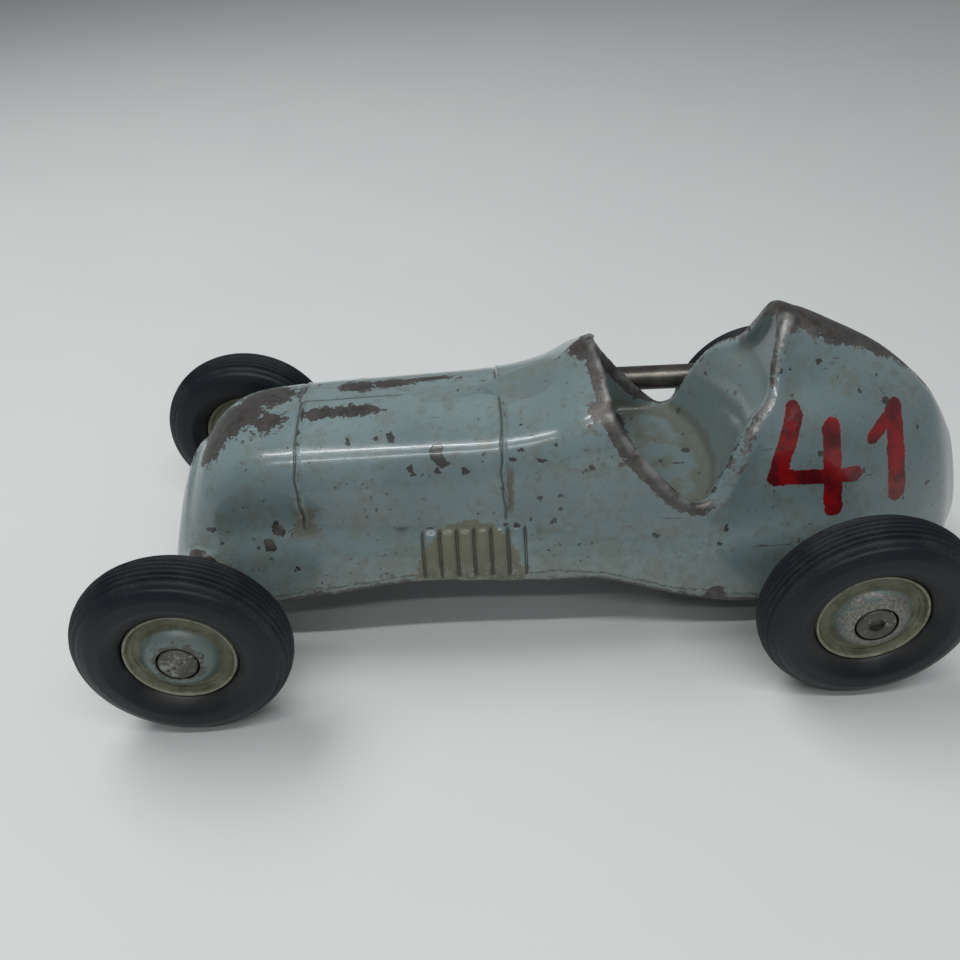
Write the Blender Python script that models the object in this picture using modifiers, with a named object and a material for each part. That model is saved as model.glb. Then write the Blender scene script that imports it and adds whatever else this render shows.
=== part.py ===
"""Cast-metal toy racing car: hollow body casting on two axles, four rubber-tyred wheels and a side exhaust.

World axes: +X towards the nose, +Y to the driver's left, +Z up. The tyres stand on Z = 0, and the
origin is on the floor under the middle of the overall length. All lengths are in metres.
"""

import math
from collections import namedtuple

import bmesh
import bpy
from mathutils import Matrix, Vector
from mathutils.bvhtree import BVHTree

MM = 0.001

# Overall sizes of the body casting.
NOSE_OVERHANG = 16.0 * MM  # front axle to nose tip
TAIL_OVERHANG = 48.0 * MM  # rear axle to tail tip
BODY_WIDTH = 66.0 * MM  # widest, at the belly behind the cockpit
BODY_TOP = 90.0 * MM  # head fairing above the floor
WALL = 2.6 * MM  # casting thickness
CAVITY_NOSE = 0.35  # hollow starts this many sections behind the nose
CAVITY_TAIL = 1.75  # and ends this many sections ahead of the tail
CAVITY_DROP = 20.0 * MM  # hollow's cutter run on below the casting's lower edge
CAVITY_CREST = 0.3 * MM  # least half-width of the hollow near its ridge
END_DOME = 1.6 * MM  # rounding of the nose and the tail, along X
NOSE_CAP = 0.6  # size of the flat left in the nose's rounding, as a share of its section
TAIL_CAP = 0.5

# Running gear.
WHEELBASE = 178.0 * MM
TYRE_TO_BODY = 11.8 * MM  # from the casting's widest point to each tyre's inner wall
TYRE_RADIUS = 28.5 * MM
TYRE_HALF_WIDTH = 7.7 * MM
TYRE_SECTION = 9.1 * MM  # tread down to the widest point of the wall
TREAD_HALF_WIDTH = 1.8 * MM  # flat middle of the tread
RIM_RADIUS = 14.6 * MM
RIM_HALF_WIDTH = 4.4 * MM
RIM_LIP = 1.0 * MM
RIM_FLAT = 0.9 * MM  # width of the rim's flat edge, outboard
RIM_FLAT_INNER = 1.4 * MM
RING_DISH = 1.0 * MM  # depth of the dished ring between rim and dome
INNER_STEP = 0.7 * MM  # depth of the turned step on the inboard side
INNER_SLOPE = 1.0 * MM  # width of the slope down into that step
BARREL_RADIUS = 12.2 * MM  # part of the hub that the tyre's bead sits on
DOME_RADIUS = 9.0 * MM
DOME_HEIGHT = 2.3 * MM  # above the rim
BOSS_REACH = 8.6 * MM  # hub boss, inboard of the tyre's middle plane
BOSS_WALL = 2.0 * MM  # hub boss outside the spacer's radius
BOSS_FOOT = 1.6 * MM  # spread of the boss at its foot
AXLE_RADIUS = 2.4 * MM
AXLE_END_BORE = 1.6 * MM
AXLE_END_DEPTH = 8.0 * MM
SCREW_HEAD_RADIUS = 5.0 * MM
SCREW_HEAD_DEPTH = 2.3 * MM
SCREW_LENGTH = 6.0 * MM
SCREW_PROUD = 0.2 * MM  # screw's face beyond the dome's top
SCREW_EDGE = 0.5 * MM  # chamfer round the screw's face
SOCKET_RADIUS = 2.3 * MM
SOCKET_DEPTH = 1.3 * MM
SLOT_WIDTH = 1.0 * MM
BUSH_RADIUS = 4.2 * MM
BUSH_FLANGE_RADIUS = 5.6 * MM
BUSH_FLANGE = 1.4 * MM
BOSS_RADIUS = 7.0 * MM  # cast boss round each bush
BOSS_DEPTH = 9.0 * MM
BOSS_PATCH = 0.75  # half-size of the patch that the boss's face clears, as a share of its radius
SPACER_RADIUS = 3.9 * MM

# Cockpit.
SEAT_DROP = 2.6 * MM  # seat floor below the lowest point of the opening's edge
SEAT_FRONT_REACH = 1.5 * MM  # seat floor forward of the cowl's foot
SEAT_THICKNESS = 2.2 * MM
SEAT_SETBACK = 3.6 * MM  # seat back behind the opening's edge
SEAT_TOP_SETBACK = 2.16 * MM  # the same at the fairing's top
SEAT_TOP_DROP = 1.8 * MM
SEAT_BACK_DROP = 1.0 * MM
SEAT_FOOT = 0.9 * MM  # seat back's foot behind the fairing's foot
SEAT_BEND = 2.0 * MM  # rise of the bend between floor and back

# Exhaust pipe on the right side.
PIPE_RADIUS = 3.9 * MM
PIPE_BORE = 2.9 * MM
PIPE_BORE_DEPTH = 14.0 * MM
PIPE_TO_BODY = 2.9 * MM
PIPE_RISE = 22.8 * MM  # front end above the axles
PIPE_FALL = 1.8 * MM  # rear end below the front end
PIPE_FRONT_X = 47.0 * MM  # front end of the straight run
PIPE_REAR_X = -106.0 * MM
PIPE_ELBOW = 17.0 * MM  # length along X of the bend into the bonnet side
PIPE_INSIDE = 0.5 * MM  # end of the bend, inside the casting's inner face
PORT_INSIDE = 4.0 * MM  # port's cutter run on inside the casting
CLIP_X = (6.0 * MM, -90.0 * MM)
CLIP_WIDTH = 6.0 * MM
CLIP_SHEET = 0.9 * MM
CLIP_TAB = 6.0 * MM  # height of the tab under the pipe
CLIP_SCREW_RADIUS = 1.2 * MM
CLIP_SCREW_HEAD = 2.2 * MM
CLIP_HEAD_HEIGHT = 1.3 * MM
CLIP_HEAD_EDGE = 0.3 * MM  # straight edge of the head, under its dome
CLIP_HEAD_FACE = 0.6  # radius of the head's flat, as a share of the head's
CLIP_SCREW_PAST = 1.5 * MM  # screw's end inside the casting's inner face

# Clearances.
GAP = 0.3 * MM  # between faces that touch
RUNNING = 0.15 * MM  # radial, round a shaft that turns
PAST = 1.0 * MM  # how far a cutter runs out of what it cuts
OVERHEAD = 10.0 * MM  # cockpit's cutter above the fairing's top

# Fineness of the round pieces and of the casting.
TYRE_SIDES = 30
HUB_SIDES = 20
SHAFT_SIDES = 16
RINGS = 28
STEPS = 12
ELBOW_STEPS = 8
BAR_RESOLUTION = 3
SEARCH_STEPS = 20  # places tried along the pipe for the casting's widest half-width

# The tyres stand on one facet of their tread.
AXLE_Z = TYRE_RADIUS * math.cos(math.pi / TYRE_SIDES)
FRONT_X = WHEELBASE / 2
REAR_X = -WHEELBASE / 2
TRACK = BODY_WIDTH + 2 * (TYRE_TO_BODY + TYRE_HALF_WIDTH)
PIPE_FRONT_Z = AXLE_Z + PIPE_RISE
PIPE_REAR_Z = PIPE_FRONT_Z - PIPE_FALL

# One cross-section of the body: x and lean give its plane, which leans along X by `lean` for each unit of
# height above the axles; the rest are (half-width, height) pairs in millimetres, from the ridge on the
# centre line down the side to the open lower edge.
Station = namedtuple(
    "Station", "x lean ridge crown brow shoulder flank_top flank crease belly edge"
)
DRAWN_AXLE_X = 89.0
DRAWN_AXLE_Z = 28.5
DRAWN_NOSE = 105.0
DRAWN_TAIL = -137.0
DRAWN_HALF_WIDTH = 33.0
DRAWN_TOP = 90.0
STATIONS = (
    Station(97.6, -0.31, (0, 54.5), (5, 54), (9.5, 52.2), (13, 48.8), (15, 44), (16.2, 37.5), (16.8, 32),
            (17.2, 25), (16.5, 15)),
    Station(91, -0.22, (0, 62.4), (6.5, 61.7), (12.5, 59.2), (17, 54.6), (19.6, 49.5), (20.8, 42.5),
            (21.5, 37), (23.5, 30), (24, 17)),
    Station(79, -0.10, (0, 67.1), (7.5, 66.5), (14.4, 64), (19.6, 59.4), (22.4, 52.8), (23.3, 46.5),
            (24, 42), (27.2, 34), (28.7, 18.5)),
    Station(60, 0, (0, 68.6), (8, 68), (15.2, 65.7), (20.8, 61), (23.8, 54.3), (24.7, 48.5),
            (25.4, 44), (29.7, 36), (31.2, 22)),
    Station(30, 0, (0, 69.3), (8.2, 68.7), (15.6, 66.5), (21.5, 61.8), (24.8, 54.3), (25.6, 47.5),
            (26.2, 42.5), (30.3, 35.5), (32, 26.5)),
    Station(5, 0, (0, 70.4), (8.2, 69.8), (15.8, 67.4), (22, 62.9), (25.3, 55), (26.2, 46.5),
            (26.9, 41), (30.8, 34.5), (32.2, 25.3)),
    Station(-10, 0, (0, 75.4), (8, 73.6), (15.8, 70.4), (22.2, 66), (25.8, 58), (26.8, 47),
            (27.4, 39.8), (31.2, 33.5), (32.4, 25)),
    Station(-23, 0, (0, 84.6), (8, 80.4), (15.6, 76.2), (22.6, 71.2), (26.6, 62.5), (27.8, 49),
            (28.4, 38.5), (31.6, 32), (32.6, 24.3)),
    Station(-45, 0, (0, 84), (7.5, 80), (14.5, 75), (20.5, 69), (25.8, 60), (28.4, 46.5),
            (29.2, 37.5), (32, 30.5), (32.9, 17)),
    Station(-60, 0, (0, 86.5), (6, 83.5), (11.5, 77), (18.5, 71), (24.4, 63), (27, 50),
            (28.8, 39.5), (32, 31), (33, 13.5)),
    Station(-74, 0, (0, 90), (5.2, 88.2), (9.8, 81), (14.6, 73.2), (21.8, 67), (25.4, 57),
            (27.8, 43.5), (31.8, 33), (33, 12.8)),
    Station(-90, 0, (0, 83.7), (5, 82), (9.8, 76.4), (14.6, 70), (20.2, 63), (23.6, 54),
            (26.2, 44.8), (30, 34), (31.5, 13)),
    Station(-106, 0, (0, 74.4), (4.8, 73), (9.4, 68.4), (13.6, 62.8), (17.6, 56), (20.6, 49.5),
            (22.8, 44), (25.8, 34), (27, 14)),
    Station(-123.5, 0.12, (0, 62.4), (3.8, 61), (7.4, 57.2), (10.3, 52.5), (12.8, 47.5), (14.6, 43),
            (15.8, 39), (17.6, 31), (18.4, 16)),
    Station(-133.5, 0.24, (0, 49.5), (1.8, 48.4), (3.2, 45.8), (4.3, 42.2), (5, 38.6), (5.4, 35),
            (5.7, 31.5), (6, 26.5), (6, 18.5)),
)

# Tyre wall: (share of the way from rim lip to widest point, share of the half-width), then the
# places on the round of the shoulder, in degrees from the widest point.
TYRE_FOOT = 0.6
TYRE_WALL = (0.35, 0.86)
TYRE_BENDS = (30, 52, 70)

# Outboard hub: shares of the way from rim to dome and their depths as shares of the dish, then shares
# of the dome's height at its foot and part of the way in to the screw's recess.
DISH = ((0.42, 1.0), (0.78, 0.8))
DOME_FOOT = 0.3
DOME_SHOULDER = (0.45, 0.8)

# Side view of the cockpit opening in the drawn sizes: down the cowl lip, along the sill and up the
# fairing's edge.
COWL_LIP = ((-22.2, 86), (-24.2, 79), (-26.4, 71), (-31.5, 62.8), (-37.5, 55.5), (-43, 49.6))
SILL = ((-47.5, 45.8), (-52, 44.8), (-56, 46.6))
FAIRING_EDGE = ((-58.6, 52), (-61.9, 61.6), (-64.6, 67), (-69, 71), (-71, 79), (-73.2, 88))


def clear_scene():
    for old in list(bpy.data.objects):
        bpy.data.objects.remove(old, do_unlink=True)


def new_collection(name):
    collection = bpy.data.collections.new(name)
    bpy.context.scene.collection.children.link(collection)
    return collection


clear_scene()
CAR = new_collection("toy_racing_car")
CUTTERS = new_collection("cutters")


def paint(name, colour, roughness, metallic):
    material = bpy.data.materials.new(name)
    material.use_nodes = True
    shader = material.node_tree.nodes["Principled BSDF"]
    shader.inputs["Base Color"].default_value = (*colour, 1)
    shader.inputs["Roughness"].default_value = roughness
    shader.inputs["Metallic"].default_value = metallic
    return material


ENAMEL = paint("blue_grey_enamel", (0.24, 0.33, 0.36), 0.35, 0.0)
RUBBER = paint("black_rubber", (0.018, 0.018, 0.02), 0.6, 0.0)
HUB_METAL = paint("cast_hub_metal", (0.42, 0.42, 0.36), 0.45, 0.8)
STEEL = paint("dark_steel", (0.2, 0.19, 0.17), 0.4, 0.95)
BRONZE = paint("bush_bronze", (0.45, 0.3, 0.14), 0.4, 1.0)


def add_object(name, mesh, material, collection=None):
    obj = bpy.data.objects.new(name, mesh)
    mesh.materials.clear()
    mesh.materials.append(material)
    (collection or CAR).objects.link(obj)
    return obj


def make_cutter(obj):
    """Moves a helper into the cutters' collection and keeps it out of the render."""
    for home in list(obj.users_collection):
        home.objects.unlink(obj)
    CUTTERS.objects.link(obj)
    obj.hide_render = True
    obj.display_type = "WIRE"
    return obj


def mesh_of(name, bm):
    bmesh.ops.recalc_face_normals(bm, faces=bm.faces)
    mesh = bpy.data.meshes.new(name)
    bm.to_mesh(mesh)
    bm.free()
    return mesh


def smooth(mesh, degrees=35):
    mesh.shade_smooth()
    mesh.set_sharp_from_angle(angle=math.radians(degrees))


def boolean(obj, other, operation):
    modifier = obj.modifiers.new(f"{operation.lower()}_{other.name}", "BOOLEAN")
    modifier.operation = operation
    modifier.object = other
    return modifier


def cylinder(name, radius, start, end, sides, material=STEEL, turn=0.0):
    """A cylinder between two points; `turn` rotates its facets about its own axis."""
    start, end = Vector(start), Vector(end)
    bm = bmesh.new()
    bmesh.ops.create_cone(
        bm, cap_ends=True, segments=sides, radius1=radius, radius2=radius, depth=(end - start).length
    )
    bmesh.ops.rotate(bm, verts=bm.verts, matrix=Matrix.Rotation(turn, 3, "Z"))
    aim = (end - start).to_track_quat("Z", "Y").to_matrix()
    bmesh.ops.rotate(bm, verts=bm.verts, matrix=aim)
    bmesh.ops.translate(bm, verts=bm.verts, vec=(start + end) / 2)
    mesh = mesh_of(name, bm)
    smooth(mesh)
    return add_object(name, mesh, material)


def box(name, low, high, material=STEEL):
    low, high = Vector(low), Vector(high)
    bm = bmesh.new()
    bmesh.ops.create_cube(bm, size=1)
    bmesh.ops.scale(bm, verts=bm.verts, vec=high - low)
    bmesh.ops.translate(bm, verts=bm.verts, vec=(low + high) / 2)
    return add_object(name, mesh_of(name, bm), material)


def prism(name, outline, half_width):
    """A side-view outline of (x, z) points, extruded to both sides of the centre line."""
    bm = bmesh.new()
    near = [bm.verts.new((x, -half_width, z)) for x, z in outline]
    face = bm.faces.new(near)
    grown = bmesh.ops.extrude_face_region(bm, geom=[face])["geom"]
    moved = [item for item in grown if isinstance(item, bmesh.types.BMVert)]
    bmesh.ops.translate(bm, verts=moved, vec=(0, 2 * half_width, 0))
    bmesh.ops.triangulate(bm, faces=[f for f in bm.faces if len(f.verts) > 4])
    return add_object(name, mesh_of(name, bm), ENAMEL)


def turned(name, profile, sides, material, half_turn=0.0, closed=True):
    """A ring or a solid turned about the local Y axis from a (radius, offset along Y) profile.

    A closed profile makes a ring. An open one starts and ends on the axis.
    """
    area = sum(r0 * a1 - r1 * a0 for (r0, a0), (r1, a1) in zip(profile, [*profile[1:], profile[0]]))
    if area > 0:
        profile = profile[::-1]
    across = math.sin(half_turn)
    up = math.cos(half_turn)
    points = [(radius * across, offset, radius * up) for radius, offset in profile]
    count = len(points)
    edges = [(i, i + 1) for i in range(count - 1)]
    if closed:
        edges.append((count - 1, 0))
    mesh = bpy.data.meshes.new(name)
    mesh.from_pydata(points, edges, [])
    obj = add_object(name, mesh, material)
    screw = obj.modifiers.new("turn", "SCREW")
    screw.axis = "Y"
    screw.steps = sides
    screw.render_steps = sides
    screw.use_merge_vertices = True
    screw.merge_threshold = 0.00001
    screw.use_smooth_shade = True
    return obj


# ---------------------------------------------------------------- body casting


def blend(low, high, share):
    return low + (high - low) * share


def spline(values, place):
    """A smooth curve through evenly numbered values, read at a fractional place."""
    last = len(values) - 1
    place = min(max(place, 0.0), float(last))
    index = min(int(place), last - 1)
    t = place - index
    before = values[max(index - 1, 0)]
    here = values[index]
    after = values[index + 1]
    beyond = values[min(index + 2, last)]
    slope_in = (after - before) / 2
    slope_out = (beyond - here) / 2
    return (
        here * (2 * t**3 - 3 * t**2 + 1)
        + slope_in * (t**3 - 2 * t**2 + t)
        + after * (3 * t**2 - 2 * t**3)
        + slope_out * (t**3 - t**2)
    )


def station_at(place):
    """The plane's x and lean and the nine section points, in the drawn sizes, between two stations."""
    x = spline([station.x for station in STATIONS], place)
    lean = spline([station.lean for station in STATIONS], place)
    points = []
    for corner in range(2, len(Station._fields)):
        y = spline([station[corner][0] for station in STATIONS], place)
        z = spline([station[corner][1] for station in STATIONS], place)
        points.append((y, z))
    return x, lean, points


def to_body(x, y, z):
    """Drawn millimetres to metres: stretched between the axles, over each overhang, across and upwards."""
    if x > DRAWN_AXLE_X:
        placed_x = FRONT_X + (x - DRAWN_AXLE_X) * NOSE_OVERHANG / (DRAWN_NOSE - DRAWN_AXLE_X)
    elif x < -DRAWN_AXLE_X:
        placed_x = REAR_X + (x + DRAWN_AXLE_X) * TAIL_OVERHANG / (-DRAWN_AXLE_X - DRAWN_TAIL)
    else:
        placed_x = x * WHEELBASE / (2 * DRAWN_AXLE_X)
    placed_z = AXLE_Z + (z - DRAWN_AXLE_Z) * (BODY_TOP - AXLE_Z) / (DRAWN_TOP - DRAWN_AXLE_Z)
    return Vector((placed_x, y * (BODY_WIDTH / 2) / DRAWN_HALF_WIDTH, placed_z))


def half_section(place, inset):
    """Points from the ridge to the lower edge of one half-section, moved in by `inset` across the wall."""
    x, lean, corners = station_at(place)
    last = len(corners) - 1
    curve = []
    for step in range(STEPS + 1):
        along = last * step / STEPS
        y = spline([corner[0] for corner in corners], along)
        z = spline([corner[1] for corner in corners], along)
        curve.append(to_body(x + lean * (z - DRAWN_AXLE_Z), y, z))
    if not inset:
        return curve
    moved = []
    for index, point in enumerate(curve):
        if index == 0:
            moved.append(point - Vector((0, 0, inset)))
            continue
        ahead = curve[min(index + 1, STEPS)] - curve[index - 1]
        normal = Vector((0, -ahead.z, ahead.y)).normalized()
        point -= normal * inset
        point.y = max(point.y, CAVITY_CREST)
        moved.append(point)
    return moved


def body_solid(name, inset=0.0, first=0.0, last=None, drop=0.0):
    """A closed loft of the body's sections, moved in by `inset` and run on downwards by `drop`."""
    last = len(STATIONS) - 1 if last is None else last
    bm = bmesh.new()
    rings = []
    for number in range(RINGS + 1):
        left = half_section(blend(first, last, number / RINGS), inset)
        if drop:
            left.append(left[-1] - Vector((0, 0, drop)))
        right = [Vector((p.x, -p.y, p.z)) for p in left[1:]]
        rings.append([bm.verts.new(p) for p in reversed(right)] + [bm.verts.new(p) for p in left])
    if not inset:
        rings.insert(0, shrunk_ring(bm, rings[0], NOSE_CAP, Vector((END_DOME, 0, 0))))
        rings.append(shrunk_ring(bm, rings[-1], TAIL_CAP, Vector((-END_DOME, 0, 0))))
    for ring, following in zip(rings, rings[1:]):
        for index in range(len(ring)):
            after = (index + 1) % len(ring)
            bm.faces.new((ring[index], ring[after], following[after], following[index]))
    bm.faces.new(rings[0])
    bm.faces.new(rings[-1])
    bmesh.ops.triangulate(bm, faces=[f for f in bm.faces if len(f.verts) > 4])
    mesh = mesh_of(name, bm)
    smooth(mesh, 50)
    return add_object(name, mesh, ENAMEL)


def shrunk_ring(bm, ring, share, shift):
    """A copy of a ring drawn in towards its middle and moved along, for a rounded end."""
    middle = sum((vert.co for vert in ring), Vector()) / len(ring)
    return [bm.verts.new(middle + (vert.co - middle) * share + shift) for vert in ring]


def drawn_outline(points):
    placed = [to_body(x, 0, z) for x, z in points]
    return [(p.x, p.z) for p in placed]


def smooth_outline(points, pieces=4):
    steps = (len(points) - 1) * pieces
    places = [step / pieces for step in range(steps + 1)]
    return [
        (spline([p[0] for p in points], place), spline([p[1] for p in points], place)) for place in places
    ]


def cockpit_cutter():
    """The opening in side view: everything above the sill between cowl lip and fairing edge."""
    edge = drawn_outline(smooth_outline((*COWL_LIP, *SILL, *FAIRING_EDGE), 3))
    over = BODY_TOP + OVERHEAD
    outline = [(edge[0][0], over), *edge, (edge[-1][0], over)]
    return make_cutter(prism("cockpit_cut", outline, BODY_WIDTH))


def seat_tub():
    """Seat floor and seat back, one bent plate across the casting that ends inside its walls."""
    edge = drawn_outline(FAIRING_EDGE)
    floor_z = min(z for x, z in drawn_outline(SILL)) - SEAT_DROP
    front_x = drawn_outline(COWL_LIP)[-2][0] + SEAT_FRONT_REACH
    foot_x = edge[0][0] - SEAT_FOOT
    path = smooth_outline([
        *[(blend(front_x, foot_x, share), floor_z) for share in (0, 0.35, 0.7, 0.9)],
        (foot_x, floor_z + SEAT_BEND),
        *[(x - SEAT_SETBACK, z - SEAT_BACK_DROP) for x, z in edge[1:-1:2]],
        (edge[-1][0] - SEAT_TOP_SETBACK, edge[-1][1] - SEAT_TOP_DROP),
    ], 3)
    outline = list(path)
    for index in range(len(path) - 1, -1, -1):
        before = Vector(path[max(index - 1, 0)])
        after = Vector(path[min(index + 1, len(path) - 1)])
        run = (after - before).normalized()
        outline.append((path[index][0] - run.y * SEAT_THICKNESS, path[index][1] + run.x * SEAT_THICKNESS))
    return prism("seat_tub", outline, BODY_WIDTH)


def side_of_body(x, z):
    """Distance from the centre line to the casting's outer face at the given x and height."""
    hit = BODY_TREE.ray_cast(Vector((x, BODY_WIDTH, z)), Vector((0, -1, 0)))[0]
    return hit.y


def side_under(x, z, reach):
    """The widest the casting gets within a square patch of half-size `reach`."""
    spots = [(x + i * reach, z + k * reach) for i in (-1, 0, 1) for k in (-1, 0, 1)]
    return max(side_of_body(*spot) for spot in spots)


body = body_solid("body_shell")
BODY_TREE = BVHTree.FromObject(body, bpy.context.evaluated_depsgraph_get())
cavity = make_cutter(body_solid("cavity", WALL, CAVITY_NOSE, len(STATIONS) - CAVITY_TAIL, CAVITY_DROP))
core = make_cutter(body_solid("core", WALL / 2))
boolean(body, cavity, "DIFFERENCE")
boolean(body, cockpit_cutter(), "DIFFERENCE")

tub = make_cutter(seat_tub())
boolean(tub, core, "INTERSECT")
boolean(body, tub, "UNION")


# ---------------------------------------------------------------- axles, bushes and wheels


def place(obj, x, y):
    obj.location = (x, y, AXLE_Z)
    return obj


def tyre_profile():
    """Balloon section: bead between the rim lips, bulging walls and a narrow flat tread."""
    bead_radius = BARREL_RADIUS + GAP
    bead_half = RIM_HALF_WIDTH - RIM_LIP - GAP
    lip_radius = RIM_RADIUS + GAP
    middle = TYRE_RADIUS - TYRE_SECTION
    wall = [
        (bead_radius, bead_half),
        (lip_radius, bead_half),
        (lip_radius, TYRE_FOOT * TYRE_HALF_WIDTH),
        (blend(lip_radius, middle, TYRE_WALL[0]), TYRE_WALL[1] * TYRE_HALF_WIDTH),
        (middle, TYRE_HALF_WIDTH),
    ]
    for degrees in TYRE_BENDS:
        bend = math.radians(degrees)
        wall.append((middle + TYRE_SECTION * math.sin(bend), TYRE_HALF_WIDTH * math.cos(bend)))
    wall.append((TYRE_RADIUS, TREAD_HALF_WIDTH))
    return [(r, a) for r, a in wall] + [(r, -a) for r, a in reversed(wall)]


def outer_disc_profile(side):
    """Outboard hub half: barrel, rim lip, dished ring, dome and the screw's counterbore."""
    lip_face = RIM_HALF_WIDTH
    dome_top = lip_face + DOME_HEIGHT
    bore = AXLE_RADIUS + RUNNING
    recess = SCREW_HEAD_RADIUS + GAP
    points = [
        (bore, GAP / 2),
        (BARREL_RADIUS, GAP / 2),
        (BARREL_RADIUS, lip_face - RIM_LIP),
        (RIM_RADIUS, lip_face - RIM_LIP),
        (RIM_RADIUS, lip_face),
        (RIM_RADIUS - RIM_FLAT, lip_face),
        *[(blend(RIM_RADIUS, DOME_RADIUS, share), lip_face - depth * RING_DISH) for share, depth in DISH],
        (DOME_RADIUS, lip_face + DOME_FOOT * DOME_HEIGHT),
        (blend(DOME_RADIUS, recess, DOME_SHOULDER[0]), lip_face + DOME_SHOULDER[1] * DOME_HEIGHT),
        (recess, dome_top),
        (recess, dome_top - SCREW_HEAD_DEPTH),
        (bore, dome_top - SCREW_HEAD_DEPTH),
    ]
    return [(r, side * a) for r, a in points]


def inner_disc_profile(side):
    """Inboard hub half: barrel, rim lip, two shallow steps and the boss."""
    lip_face = RIM_HALF_WIDTH
    bore = AXLE_RADIUS + RUNNING
    boss = SPACER_RADIUS + BOSS_WALL
    step_radius = RIM_RADIUS - RIM_FLAT_INNER - INNER_SLOPE
    points = [
        (bore, -GAP / 2),
        (BARREL_RADIUS, -GAP / 2),
        (BARREL_RADIUS, RIM_LIP - lip_face),
        (RIM_RADIUS, RIM_LIP - lip_face),
        (RIM_RADIUS, -lip_face),
        (RIM_RADIUS - RIM_FLAT_INNER, -lip_face),
        (step_radius, INNER_STEP - lip_face),
        (boss + BOSS_FOOT, INNER_STEP - lip_face),
        (boss, -lip_face - INNER_SLOPE),
        (boss, -BOSS_REACH),
        (bore, -BOSS_REACH),
    ]
    return [(r, side * a) for r, a in points]


def hub_screw(name, side, slotted):
    """Round-headed axle screw: a hexagon socket, or a slot across the head, and a plain shank."""
    face = RIM_HALF_WIDTH + DOME_HEIGHT + SCREW_PROUD
    head_foot = face - SCREW_HEAD_DEPTH + GAP + SCREW_PROUD
    profile = [
        (0, face),
        (SCREW_HEAD_RADIUS - SCREW_EDGE, face),
        (SCREW_HEAD_RADIUS, face - SCREW_EDGE),
        (SCREW_HEAD_RADIUS, head_foot),
        (AXLE_END_BORE - RUNNING, head_foot),
        (AXLE_END_BORE - RUNNING, head_foot - SCREW_LENGTH),
        (0, head_foot - SCREW_LENGTH),
    ]
    screw = turned(name, [(r, side * a) for r, a in profile], SHAFT_SIDES, STEEL, closed=False)
    if slotted:
        reach = SCREW_HEAD_RADIUS + GAP
        cutter = box(f"{name}_slot", (-reach, side * face - SLOT_WIDTH, -SLOT_WIDTH / 2),
                     (reach, side * face + SLOT_WIDTH, SLOT_WIDTH / 2))
    else:
        cutter = cylinder(f"{name}_socket", SOCKET_RADIUS, (0, side * (face - SOCKET_DEPTH), 0),
                          (0, side * (face + SOCKET_DEPTH), 0), 6)
    cutter.parent = screw
    boolean(screw, make_cutter(cutter), "DIFFERENCE")
    return screw


def wheel(end, side_name, side, x):
    """One wheel: tyre, two hub halves and the screw that closes the axle's end."""
    y = side * TRACK / 2
    label = f"{end}_{side_name}"
    pieces = (
        turned(f"{label}_tyre", tyre_profile(), TYRE_SIDES, RUBBER, math.pi / TYRE_SIDES),
        turned(f"{label}_hub_outer", outer_disc_profile(side), HUB_SIDES, HUB_METAL),
        turned(f"{label}_hub_inner", inner_disc_profile(side), HUB_SIDES, HUB_METAL),
        hub_screw(f"{label}_axle_screw", side, slotted=end == "front"),
    )
    for piece in pieces:
        place(piece, x, y)


def tube_profile(bore, radius, start, end):
    return [(bore, start), (radius, start), (radius, end), (bore, end)]


def bearing(end, side_name, side, x):
    """A flanged bush let into its cast boss, and the spacer tube between its flange and the wheel."""
    seat = side_under(x, AXLE_Z, BOSS_RADIUS * BOSS_PATCH)
    inside = side_of_body(x, AXLE_Z) - BOSS_DEPTH
    boss = cylinder(f"{end}_{side_name}_boss", BOSS_RADIUS, (x, side * inside, AXLE_Z),
                    (x, side * seat, AXLE_Z), SHAFT_SIDES)
    boolean(body, make_cutter(boss), "UNION")
    bore = AXLE_RADIUS + RUNNING
    flange = seat + GAP
    flange_face = flange + BUSH_FLANGE
    bush = [
        (bore, inside),
        (BUSH_RADIUS, inside),
        (BUSH_RADIUS, flange),
        (BUSH_FLANGE_RADIUS, flange),
        (BUSH_FLANGE_RADIUS, flange_face),
        (bore, flange_face),
    ]
    place(turned(f"{end}_{side_name}_bush", [(r, side * a) for r, a in bush], SHAFT_SIDES, BRONZE), x, 0)
    spacer = tube_profile(bore, SPACER_RADIUS, flange_face + GAP, TRACK / 2 - BOSS_REACH - GAP)
    place(turned(f"{end}_{side_name}_spacer", [(r, side * a) for r, a in spacer], SHAFT_SIDES, STEEL), x, 0)


def axle(end, x):
    """Plain round axle with a bored end for each hub screw."""
    reach = TRACK / 2 + RIM_HALF_WIDTH + DOME_HEIGHT - SCREW_HEAD_DEPTH - GAP
    rod = cylinder(f"{end}_axle", AXLE_RADIUS, (0, -reach, 0), (0, reach, 0), SHAFT_SIDES)
    place(rod, x, 0)
    for side in (1, -1):
        drill = cylinder(f"{end}_axle_drill{side}", AXLE_END_BORE, (0, side * (reach - AXLE_END_DEPTH), 0),
                         (0, side * (reach + PAST), 0), SHAFT_SIDES)
        drill.parent = rod
        boolean(rod, make_cutter(drill), "DIFFERENCE")


SIDES = (("left", 1), ("right", -1))
for end, axle_x in (("front", FRONT_X), ("rear", REAR_X)):
    axle(end, axle_x)
    for side_name, side in SIDES:
        bearing(end, side_name, side, axle_x)
        wheel(end, side_name, side, axle_x)
    hole = cylinder(f"{end}_axle_hole", BUSH_RADIUS + GAP, (axle_x, -BODY_WIDTH, AXLE_Z),
                    (axle_x, BODY_WIDTH, AXLE_Z), SHAFT_SIDES)
    boolean(body, make_cutter(hole), "DIFFERENCE")


# ---------------------------------------------------------------- exhaust pipe


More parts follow.
